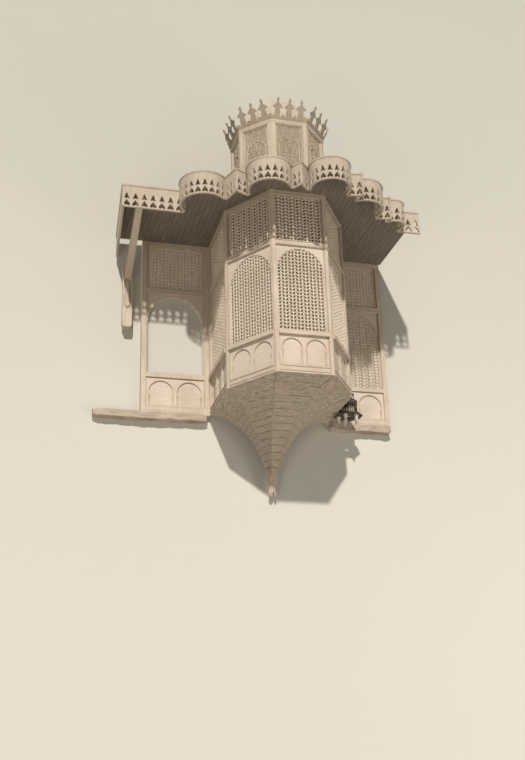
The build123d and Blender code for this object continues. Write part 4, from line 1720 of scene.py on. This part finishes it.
@dataclass
class Lantern(SubAssembly):
    """Hanging lantern: a pierced eight-sided body over glass cups, a windowed box and a spun neck."""

    wall: float = 0.004
    box_share: float = 0.354
    hole_columns: int = 3
    hole_spread: float = 0.92
    hole_width: float = 0.2
    cups: int = 5
    cup_circle: float = 0.098
    cup_radius: float = 0.024
    cup_foot: float = 0.009
    cup_wall: float = 0.0025
    cup_base: float = 0.003
    cup_hole: float = 0.86
    cup_sides: int = 14
    first_cup: float = 18.0
    pane: float = 0.002
    spun_sides: int = 16
    spigot: float = 0.03
    rod_radius: float = 0.0035

    HOLE_ROWS = ((0.14, 0.26), (0.5, 0.34))
    WINDOW = (0.5, 0.16, 0.66)
    PANE = (0.3, 0.12, 0.86)
    NECK = (
        (1.0, 0.0), (0.98, 0.012), (0.8, 0.03), (0.62, 0.055), (0.52, 0.09), (0.58, 0.11), (0.58, 0.13),
        (0.44, 0.17), (0.35, 0.30), (0.29, 0.5), (0.26, 0.72), (0.27, 0.84), (0.46, 0.86), (0.48, 0.885),
        (0.26, 0.91), (0.16, 0.95), (0.09, 1.0),
    )

    def __post_init__(self) -> None:
        """Read the levels and widths of the lantern from the frame."""
        self.plate_low, self.plate_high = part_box("lantern_plate")
        self.body_low, self.body_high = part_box("lantern_body")
        self.neck_low, self.neck_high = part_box("lantern_neck")
        self.cup_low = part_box("lantern_lamps")[0].z
        middle = (self.plate_low + self.plate_high) / 2
        self.centre = (middle.x, middle.y)
        self.plate_level = middle.z
        self.body_apothem = (self.body_high.x - self.body_low.x) / 2
        self.box_foot = self.body_high.z - (self.body_high.z - self.body_low.z) * self.box_share
        self.box_apothem = (self.neck_high.x - self.neck_low.x) / 2
        self.drum = Drum(ring_tree(), self.centre)

    def walls(self, apothem: float, height: float, holes: Sequence[Outline], level: float) -> Mesh:
        """The pierced sides of one drum, with their outer faces on its sides.

        Args:
            apothem: from the lantern's middle to a wall.
            height: a wall's height.
            holes: its holes.
            level: level of its foot.

        Returns:
            The walls.
        """
        half = apothem * tan(pi / self.drum.sides)
        panel = cut_board([rectangle(half, height, -half), *holes], self.wall)
        panel.transform(Matrix.Translation((0.0, self.wall / 2, level)) @ STAND_UP)
        return self.drum.around(panel, self.finishes["lantern_metal"], apothem)

    def arched_hole(self, centre: float, foot: float, width: float, height: float) -> Outline:
        """Outline of a small round-headed hole.

        Args:
            centre: its middle.
            foot: its foot.
            width: its width.
            height: its height.

        Returns:
            The outline.
        """
        radius = width / 2
        spring = foot + height - radius
        angles = [pi * step / 6 for step in range(7)]
        head = [(centre + radius * cos(angle), spring + radius * sin(angle)) for angle in angles]
        return [(centre - radius, foot), (centre + radius, foot), *head]

    def pierced_walls(self) -> list[Mesh]:
        """Walls of the body, with two rows of holes, and of the box, with windows.

        Returns:
            The two meshes.
        """
        height = self.box_foot - self.body_low.z
        side = 2 * self.body_apothem * tan(pi / self.drum.sides)
        columns = self.hole_columns
        shares = [((column + 0.5) / columns - 0.5) * self.hole_spread for column in range(columns)]
        holes = [
            self.arched_hole(side * share, height * foot, side * self.hole_width, height * tall)
            for foot, tall in self.HOLE_ROWS
            for share in shares
        ]
        box_height = self.body_high.z - self.box_foot
        width, foot, tall = self.WINDOW
        window = self.arched_hole(0.0, box_height * foot, self.box_apothem * width, box_height * tall)
        return [
            self.walls(self.body_apothem, height, holes, self.body_low.z),
            self.walls(self.box_apothem, box_height, [window], self.box_foot),
        ]

    def metal(self) -> None:
        """Walls, plate, mouldings, roof, neck and rod."""
        apothem = (self.plate_high.x - self.plate_low.x) / 2
        thickness = self.plate_high.z - self.plate_low.z
        openings = [polygon(self.cup_radius * self.cup_hole, 12, place) for place in self.cup_places()]
        spigot = polygon(self.spigot, self.spun_sides)
        plate = cut_board([self.drum.outline(apothem), spigot, *openings], thickness)
        parts: list[Part] = self.pierced_walls()
        parts.append((plate, Matrix.Translation((*self.centre, self.plate_level))))
        for reach, level, radius in (
            (apothem, self.plate_level, thickness * 0.55),
            (self.body_apothem, self.body_low.z + 0.003, 0.005),
            (self.body_apothem, self.box_foot, 0.006),
            (self.box_apothem, self.body_high.z, 0.005),
            (self.box_apothem, self.box_foot + 0.004, 0.004),
        ):
            parts += frame_of(lifted(self.drum.outline(reach, self.centre), level), radius)
        roof = [
            (self.body_apothem * 1.02, -0.004), (self.body_apothem * 0.8, 0.004),
            (self.box_apothem * 0.98, 0.008),
        ]
        parts.append((turned(roof, self.spun_sides), Matrix.Translation((*self.centre, self.box_foot))))
        height = self.neck_high.z - self.neck_low.z
        neck = [(self.box_apothem * reach, height * share) for reach, share in self.NECK]
        parts.append((turned(neck, self.spun_sides), Matrix.Translation((*self.centre, self.neck_low.z))))
        nodes = ["lantern_plate", "lantern_body", "lantern_neck"]
        self.hand_over("pierced_lantern", merged(parts), "lantern_metal", "lantern_metal", nodes, 30)
        levels = (self.neck_high.z - 0.01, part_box("lantern_rod")[1].z)
        rod = swept([Vector((*self.centre, level)) for level in levels], self.rod_radius)
        self.hand_over("hanging_rod", rod, "lantern_metal", "lantern_metal", ["lantern_rod"], 40)

    def cup_places(self) -> Outline:
        """Places of the glass cups about the lantern's middle."""
        turns = [radians(self.first_cup + 360 * cup / self.cups) for cup in range(self.cups)]
        return [(self.cup_circle * cos(turn), self.cup_circle * sin(turn)) for turn in turns]

    def glass(self) -> None:
        """Thin glass cups under the plate and the panes of the box."""
        drop = self.plate_low.z - self.cup_low
        radius, foot = self.cup_radius, self.cup_foot
        outside = [
            (foot * 0.6, 0.0), (foot, 0.004), (foot * 1.25, drop * 0.3), (radius * 0.78, drop * 0.72),
            (radius, drop * 0.93), (radius, drop),
        ]
        inside = [
            (max(size - self.cup_wall, 0.001), level + self.cup_base)
            for size, level in reversed(outside[1:])
        ]
        cup = turned(outside + inside, self.cup_sides)
        low = Vector((*self.centre, self.cup_low))
        cups = merged((cup, Matrix.Translation(low + place)) for place in lifted(self.cup_places()))
        self.hand_over("glass_cups", cups, "lamp_glass", "lamp_glass", ["lantern_lamps"], 50)
        width, foot, head = self.PANE
        half = self.box_apothem * width
        height = self.body_high.z - self.box_foot
        pane = block(
            (-half, self.wall, self.box_foot + height * foot),
            (half, self.wall + self.pane, self.box_foot + height * head),
        )
        panes = self.drum.around(pane, self.finishes["lamp_glass"], self.box_apothem)
        self.hand_over("box_panes", panes, "lamp_glass", "lamp_glass", (), 20)

    def build(self) -> None:
        """Make the metal and the glass."""
        self.metal()
        self.glass()


@dataclass
class Crown(SubAssembly):
    """Eight-sided drum with carved panels, a leaning cresting and a low ribbed dome."""

    centre_y: float = -0.64
    side: float = 0.38
    post: float = 0.042
    panel_front: float = 0.016
    panel_back: float = 0.03
    trim_front: float = 0.012
    vine_front: float = 0.0155
    vine_margin: float = 0.012
    vine_radius: float = 0.0042
    scroll_pitch: float = 0.042
    scroll_half_turns: float = 1.7
    scroll_shrink: float = 0.8
    scroll_steps: int = 10
    arch_bead: float = 0.0048
    arch_foot: float = 0.04
    arch_half: float = 0.385
    arch_spring: float = 0.7
    arch_ease: float = 0.9
    arch_rise: float = 0.95
    arch_point: float = 1.15
    arch_steps: int = 12
    crest_lean: float = 25.0
    crest_height: float = 0.235
    crest_band: float = 0.044
    crest_foot: float = 0.012
    crest_bump: float = 0.0165
    bump_rise: float = 1.3
    bump_steps: int = 3
    crest_thickness: float = 0.014
    crests_per_side: int = 3
    dome_setback: float = 0.044
    rib: float = 0.008

    FRAMES = ((0.006, 0.006), (0.022, 0.003))
    LEAF = ((-0.62, 0.0), (-0.1, 0.38), (0.62, 0.06), (-0.1, -0.38))
    LEAVES = ((0.3, 1.05, 0.36), (0.95, 0.62, 0.3), (1.45, 0.78, 0.32), (1.9, 0.1, 0.26))
    CREST_FOOT = ((0.037, -0.006), (0.031, 0.004))
    CREST = (
        (0.0295, 0.30), (0.026, 0.42), (0.024, 0.545), (0.034, 0.56), (0.045, 0.545), (0.053, 0.575),
        (0.05, 0.615), (0.041, 0.66), (0.03, 0.70), (0.019, 0.735), (0.0115, 0.79), (0.008, 0.835),
        (0.0125, 0.865), (0.0135, 0.905), (0.010, 0.95), (0.005, 1.0),
    )
    CORNICE = (
        (0.0, 0.0), (-0.004, 0.008), (-0.004, 0.014), (-0.008, 0.02), (-0.01, 0.028), (-0.01, 0.036),
        (0.044, 0.036), (0.044, 0.0),
    )
    DOME = (
        (1.0, 0.0), (0.985, 0.16), (0.95, 0.31), (0.895, 0.45), (0.82, 0.57), (0.73, 0.68), (0.62, 0.78),
        (0.5, 0.862), (0.37, 0.93), (0.22, 0.975), (0.06, 1.0),
    )

    def __post_init__(self) -> None:
        """Read the levels of the drum from the frame."""
        self.apothem = self.side / 2 + self.side * sin(radians(45))
        self.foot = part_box("canopy_deck")[1].z
        cornice_low, cornice_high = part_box("crown_cornice")
        self.cornice_foot, self.top = cornice_low.z, cornice_high.z
        self.dome_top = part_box("crown_dome")[1].z
        self.drum = Drum(ring_tree(), (0.0, self.centre_y))

    def repeat(
        self,
        name: str,
        piece: Mesh,
        finish: str = "crown_wood",
        replaced: Sequence[str] = (),
        smooth_under: float = 40.0,
        per_side: int = 1,
    ) -> None:
        """Hand over a piece that is repeated on every side of the drum."""
        mesh = self.drum.around(piece, self.finishes[finish], self.apothem, per_side)
        self.hand_over(name, mesh, finish, "crown_wood", replaced, smooth_under)

    def upright(self, mesh: Mesh, setback: float) -> Mesh:
        """Stand a flat mesh, drawn with X across and Y up, on the drum's foot."""
        return moved(mesh, Matrix.Translation((0.0, setback, self.foot)) @ STAND_UP)

    def leaf(self, size: float) -> Mesh:
        """Small pointed leaf with a ridge.

        Args:
            size: about its length.

        Returns:
            The leaf.
        """
        bm = bmesh.new()
        rim = [bm.verts.new((x * size, y * size, 0.0)) for x, y in self.LEAF]
        ridge = bm.verts.new((0.0, 0.0, self.vine_radius * 1.4))
        under = bm.verts.new((0.0, 0.0, -self.vine_radius))
        for first, second in zip(rim, rim[1:] + rim[:1]):
            bm.faces.new((first, second, ridge))
            bm.faces.new((second, first, under))
        return mesh_from(bm)

    def scroll(self, hand: int) -> Mesh:
        """One curl of vine with its leaves, drawn flat round its own middle.

        Args:
            hand: 1 or -1 for the way that it curls.

        Returns:
            The curl.
        """
        reach = self.scroll_pitch * 0.5
        shares = [step / self.scroll_steps for step in range(self.scroll_steps + 1)]
        line = []
        for share in shares:
            angle = self.scroll_half_turns * pi * share
            radius = reach * (1 - self.scroll_shrink * share)
            line.append((hand * radius * cos(angle), radius * sin(angle)))
        parts: list[Part] = [swept(lifted(line), self.vine_radius, 4)]
        for half_turns, share, size in self.LEAVES:
            angle = half_turns * pi
            turn = Matrix.Rotation(hand * (angle + 0.5), 4, "Z")
            place = Matrix.Translation((hand * reach * share * cos(angle), reach * share * sin(angle), 0.0))
            parts.append((self.leaf(self.scroll_pitch * size), place @ turn))
        return merged(parts)

    def arabesque(self, width: float, height: float) -> Mesh:
        """Curls that fill a field and mirror each other about its middle.

        Args:
            width: the field's width.
            height: the field's height.

        Returns:
            The curls.
        """
        columns = 2 * max(1, round(width / self.scroll_pitch / 2))
        rows = max(1, round(height / self.scroll_pitch))
        scrolls = {hand: self.scroll(hand) for hand in (1, -1)}
        parts: list[Part] = []
        for row in range(rows):
            for column in range(columns):
                hand = 1 if column < columns / 2 else -1
                place = min(column, columns - 1 - column)
                turn = hand * 0.25 * pi * ((row * 5 + place * 3 + row * place) % 8)
                centre = (width * (column + 0.5) / columns, height * (row + 0.5) / rows, 0.0)
                parts.append((scrolls[hand], Matrix.Translation(centre) @ Matrix.Rotation(turn, 4, "Z")))
        return merged(parts)

    def arch(self, half: float, spring: float) -> list[Vector]:
        """Line of a panel's pointed arch, from left to right.

        Args:
            half: half its width.
            spring: level where it starts to turn.

        Returns:
            The line.
        """
        left = [(-half, self.arch_foot), (-half, spring)]
        for step in range(1, self.arch_steps):
            angle = step / self.arch_steps * pi / 2
            left.append((-half * cos(angle) ** self.arch_ease, spring + half * self.arch_rise * sin(angle)))
        point = (0.0, spring + half * self.arch_point)
        return lifted([*left, point, *((-x, y) for x, y in reversed(left))])

    def panels(self) -> None:
        """Framed panels with an arched inner field, all of it filled with vines."""
        width = self.side - 2 * self.post
        height = self.cornice_foot - self.foot
        # The ground behind the vines takes the darker ground finish, painted shade in the carving's depth.
        ground = block(
            (-width / 2, self.panel_front, self.foot), (width / 2, self.panel_back, self.cornice_foot),
        )
        self.repeat("crown_ground_painted_shade", ground, "crown_ground_painted_shade", ["crown_panels"], 32)
        margin = self.vine_margin
        field_width = width - 2 * margin
        vines = self.arabesque(field_width, height - 2 * margin)
        vines.transform(Matrix.Translation((-field_width / 2, margin, 0.0)))
        self.repeat("crown_vines", self.upright(vines, self.vine_front))
        arch = self.arch(field_width * self.arch_half, height * self.arch_spring)
        lines = [swept(arch, self.arch_bead)]
        for inset, radius in self.FRAMES:
            corners = rectangle(width / 2 - inset, height - inset, inset - width / 2, inset)
            lines += frame_of(lifted(corners), radius)
        self.repeat("crown_panel_trim", self.upright(merged(lines), self.trim_front))

    def crest(self) -> Outline:
        """Outline of one crest: a low bump at each end, a stem, drooping arms and a small head.

        Returns:
            The outline.
        """
        band, bump = self.crest_band, self.crest_bump
        end = self.side / self.crests_per_side / 2
        rise = self.bump_rise * bump
        half = [(end, -self.crest_foot), (end, band + rise)]
        for step in range(1, self.bump_steps + 1):
            angle = 0.5 * pi * step / self.bump_steps
            half.append((end - bump * sin(angle), band + rise * cos(angle)))
        half += [(x, band + lift) for x, lift in self.CREST_FOOT]
        half += [(x, share * self.crest_height) for x, share in self.CREST]
        return half + [(-x, y) for x, y in reversed(half)]

    def cresting(self) -> None:
        """Leaning crests that grow out of a band."""
        lean = Matrix.Rotation(radians(self.crest_lean), 4, "X") @ STAND_UP
        inwards = Matrix.Translation((0.0, 0.0, -self.crest_thickness / 2))
        place = Matrix.Translation((0.0, 0.0, self.top)) @ lean @ inwards
        unit = moved(cut_board([self.crest()], self.crest_thickness), place)
        # The crests take the darker crest finish, which is painted shade.
        self.repeat("crown_crests", unit, "crest_wood", ["crown_cresting"], 30, self.crests_per_side)

    def cornice(self) -> None:
        """Moulded top: a fillet, a hollow and a bead on each side."""
        slope = tan(pi / self.drum.sides)
        section = [(self.apothem - out, out, self.cornice_foot + up) for out, up in self.CORNICE]
        rings = [
            [Vector((end * reach * slope, out, level)) for reach, out, level in section]
            for end in (-1, 1)
        ]
        self.repeat("crown_moulding", rings_to_mesh(rings), replaced=["crown_cornice"], smooth_under=30)

    def dome(self) -> None:
        """Boarded dome with a rib on each edge."""
        apothem = self.apothem - self.dome_setback
        rise = self.dome_top - self.top
        rings = [lifted(self.drum.outline(apothem * share), rise * lift) for share, lift in self.DOME]
        ribs = [swept(rib, self.rib) for rib in zip(*rings)]
        place = Matrix.Translation((0.0, self.centre_y, self.top))
        dome = moved(merged([rings_to_mesh(rings), *ribs]), place)
        self.hand_over("crown_ribbed_dome", dome, "dome_plaster", "dome_plaster", ["crown_dome"], 20)

    def build(self) -> None:
        """Make the panels, the moulding, the cresting and the dome."""
        self.panels()
        self.cornice()
        self.cresting()
        self.dome()


class LampKind(Enum):
    """The kinds of lamp on the stage."""

    SUN = "SUN"
    AREA = "AREA"


@dataclass
class Stage:
    """Floor, upright backdrop, lamps and camera."""

    floor_level: float = -4.6
    backdrop_place: float = 0.073
    sheet_reach: float = 40.0
    sheet_colour: Triple = (0.56, 0.535, 0.475)
    backdrop: Triple = (0.75, 0.69, 0.57)
    world_colour: Triple = (1.0, 0.97, 0.93)
    world_strength: float = 0.12
    key_colour: Triple = (1.0, 0.965, 0.915)
    panel_colour: Triple = (1.0, 0.955, 0.9)
    camera_place: Triple = (-2.8352, -9.9187, -3.6897)
    camera_right: Triple = (0.9657, -0.25799, -0.02936)
    camera_up: Triple = (-0.06963, -0.3662, 0.92793)
    focal_pixels: float = 1067.7
    frame_height: float = 760.0
    sensor: float = 36.0

    def camera(self) -> None:
        """Place the camera at the photograph's viewing angle."""
        data = bpy.data.cameras.new("photograph")
        data.sensor_width = self.sensor
        data.lens = self.focal_pixels / self.frame_height * self.sensor
        camera = linked("photograph", data)
        right, up = Vector(self.camera_right), Vector(self.camera_up)
        camera.matrix_world = axes_matrix(right, up, right.cross(up), self.camera_place)
        bpy.context.scene.camera = camera

    def lamp(
        self, name: str, kind: LampKind, energy: float, colour: Triple, direction: Vector
    ) -> bpy.types.Object:
        """Add one lamp that shines along a direction.

        Args:
            name: its name.
            kind: its kind.
            energy: its strength.
            colour: its colour.
            direction: where it shines.

        Returns:
            The lamp.
        """
        data = bpy.data.lights.new(name, kind.value)
        data.energy = energy
        data.color = colour
        lamp = linked(name, data)
        lamp.rotation_mode = "QUATERNION"
        lamp.rotation_quaternion = direction.to_track_quat("-Z", "Y")
        return lamp

    def sun(self, name: str, direction: Triple, strength: float, softness: float, colour: Triple) -> None:
        """Add one distant lamp."""
        lamp = self.lamp(name, LampKind.SUN, strength, colour, Vector(direction))
        lamp.data.angle = radians(softness)

    def panel(self, name: str, place: Triple, aim: Triple, size: float, watts: float) -> None:
        """Add one square lamp that the camera doesn't see.

        Args:
            name: its name.
            place: where it stands.
            aim: what it shines at.
            size: length of a side.
            watts: its power.
        """
        lamp = self.lamp(name, LampKind.AREA, watts, self.panel_colour, Vector(aim) - Vector(place))
        lamp.data.size = size
        lamp.location = place
        lamp.visible_camera = False

    def world(self) -> None:
        """Pale backdrop for the camera and a soft even light for the object."""
        world = bpy.data.worlds.new("studio")
        bpy.context.scene.world = world
        world.use_nodes = True
        tree = NodeTree(world.node_tree)
        light = tree.tree.nodes["Background"]
        tree.feed(light, {"Color": (*self.world_colour, 1.0), "Strength": self.world_strength})
        seen = tree.add("ShaderNodeBackground", {"Color": (*self.backdrop, 1.0)})
        rays = tree.add("ShaderNodeLightPath").outputs
        shiny = tree.maths("MAXIMUM", rays["Is Glossy Ray"], rays["Is Transmission Ray"])
        either = tree.maths("MAXIMUM", rays["Is Camera Ray"], shiny)
        mix = tree.add("ShaderNodeMixShader", {0: either, 1: light.outputs[0], 2: seen.outputs[0]})
        tree.feed(tree.tree.nodes["World Output"], {"Surface": mix.outputs[0]})

    def sheet(self, name: str, matrix: Matrix, one_sided: bool) -> None:
        """Add one large plain sheet of the stage.

        Args:
            name: its name.
            matrix: where it lies.
            one_sided: whether the camera sees only its front and the light passes through it.
        """
        bm = bmesh.new()
        bmesh.ops.create_grid(bm, x_segments=1, y_segments=1, size=self.sheet_reach, matrix=matrix)
        mesh = bpy.data.meshes.new(name)
        bm.to_mesh(mesh)
        bm.free()
        colour = (*self.sheet_colour, 1.0)
        tree = MaterialTree(name, {"Base Color": colour, "Roughness": 0.95, "Specular IOR Level": 0.0})
        if one_sided:
            clear = tree.add("ShaderNodeBsdfTransparent").outputs[0]
            back = tree.add("ShaderNodeNewGeometry").outputs["Backfacing"]
            camera = tree.add("ShaderNodeLightPath").outputs["Is Camera Ray"]
            seen = tree.maths("SUBTRACT", camera, back, use_clamp=True)
            mix = tree.add("ShaderNodeMixShader", {0: seen, 1: clear, 2: tree.shader.outputs[0]})
            tree.feed(tree.tree.nodes["Material Output"], {"Surface": mix.outputs[0]})
        mesh.materials.append(tree.material)
        sheet = linked(name, mesh)

    def build(self) -> None:
        """Set the whole stage."""
        bpy.context.scene.view_settings.view_transform = "Standard"
        self.camera()
        self.world()
        self.sheet("floor", Matrix.Translation((0.0, 0.0, self.floor_level)), False)
        self.sheet("backdrop", Matrix.Translation((0.0, self.backdrop_place, 0.0)) @ STAND_UP, True)
        self.sun("key", (0.2, 0.8, -0.5), strength=3.42, softness=1.8, colour=self.key_colour)
        self.sun("back", (0.3, -0.8, -0.5), strength=0.9, softness=60.0, colour=self.world_colour)
        self.panel("bounce", (5.2, -5.2, -3.2), aim=(0.4, -0.8, -0.2), size=2.2, watts=110.0)
        self.panel("fill", (-4.5, -6.0, -3.0), aim=(-0.9, 0.0, 1.2), size=2.5, watts=85.0)


class PlainNodes:
    """CAD nodes that stay in view, with their finishes."""

    FINISHES = {
        "bay_posts": "joinery",
        "bay_top_rails": "joinery_level",
        "bay_mid_rails": "joinery_level",
        "bay_sill_rails": "joinery_level",
        "bay_base_rails": "joinery_level",
        # The bay's floor and the canopy's deck take the soffit finish, whose dark tone is painted shade.
        "bay_floor": "soffit_boards",
        "wall_ledger": "rough_timber",
        "left_flank_frame": "joinery",
        "right_flank_frame": "joinery",
        "canopy_deck": "soffit_boards",
        "crown_posts": "crown_wood",
    }


def main() -> None:
    """Build the stage and every sub-assembly in order."""
    finishes = Finishes()
    levels = Levels.from_frame()
    plan = BayPlan.from_frame()
    Stage().build()
    plain = SubAssembly(finishes)
    for node, finish in PlainNodes.FINISHES.items():
        plain.dress(node, finish)
    TurnedScreens(finishes, levels, plan).build()
    SpandrelBoards(finishes, levels, plan).build()
    Parapets(finishes, levels, plan).build()
    deck_low, deck_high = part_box("canopy_deck")
    side_low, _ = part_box("valance_left_side")
    canopy = CanopyPlan(left=-deck_low.x, right=deck_high.x)
    Valance(finishes, canopy, deck_high.z, side_low.z).build()
    RailMouldings(finishes, levels, plan).build()
    Corbel(finishes, plan).build()
    SillBeams(finishes).build()
    Bracket(finishes).build()
    Crown(finishes).build()
    Lantern(finishes).build()


if __name__ == "__main__":
    main()
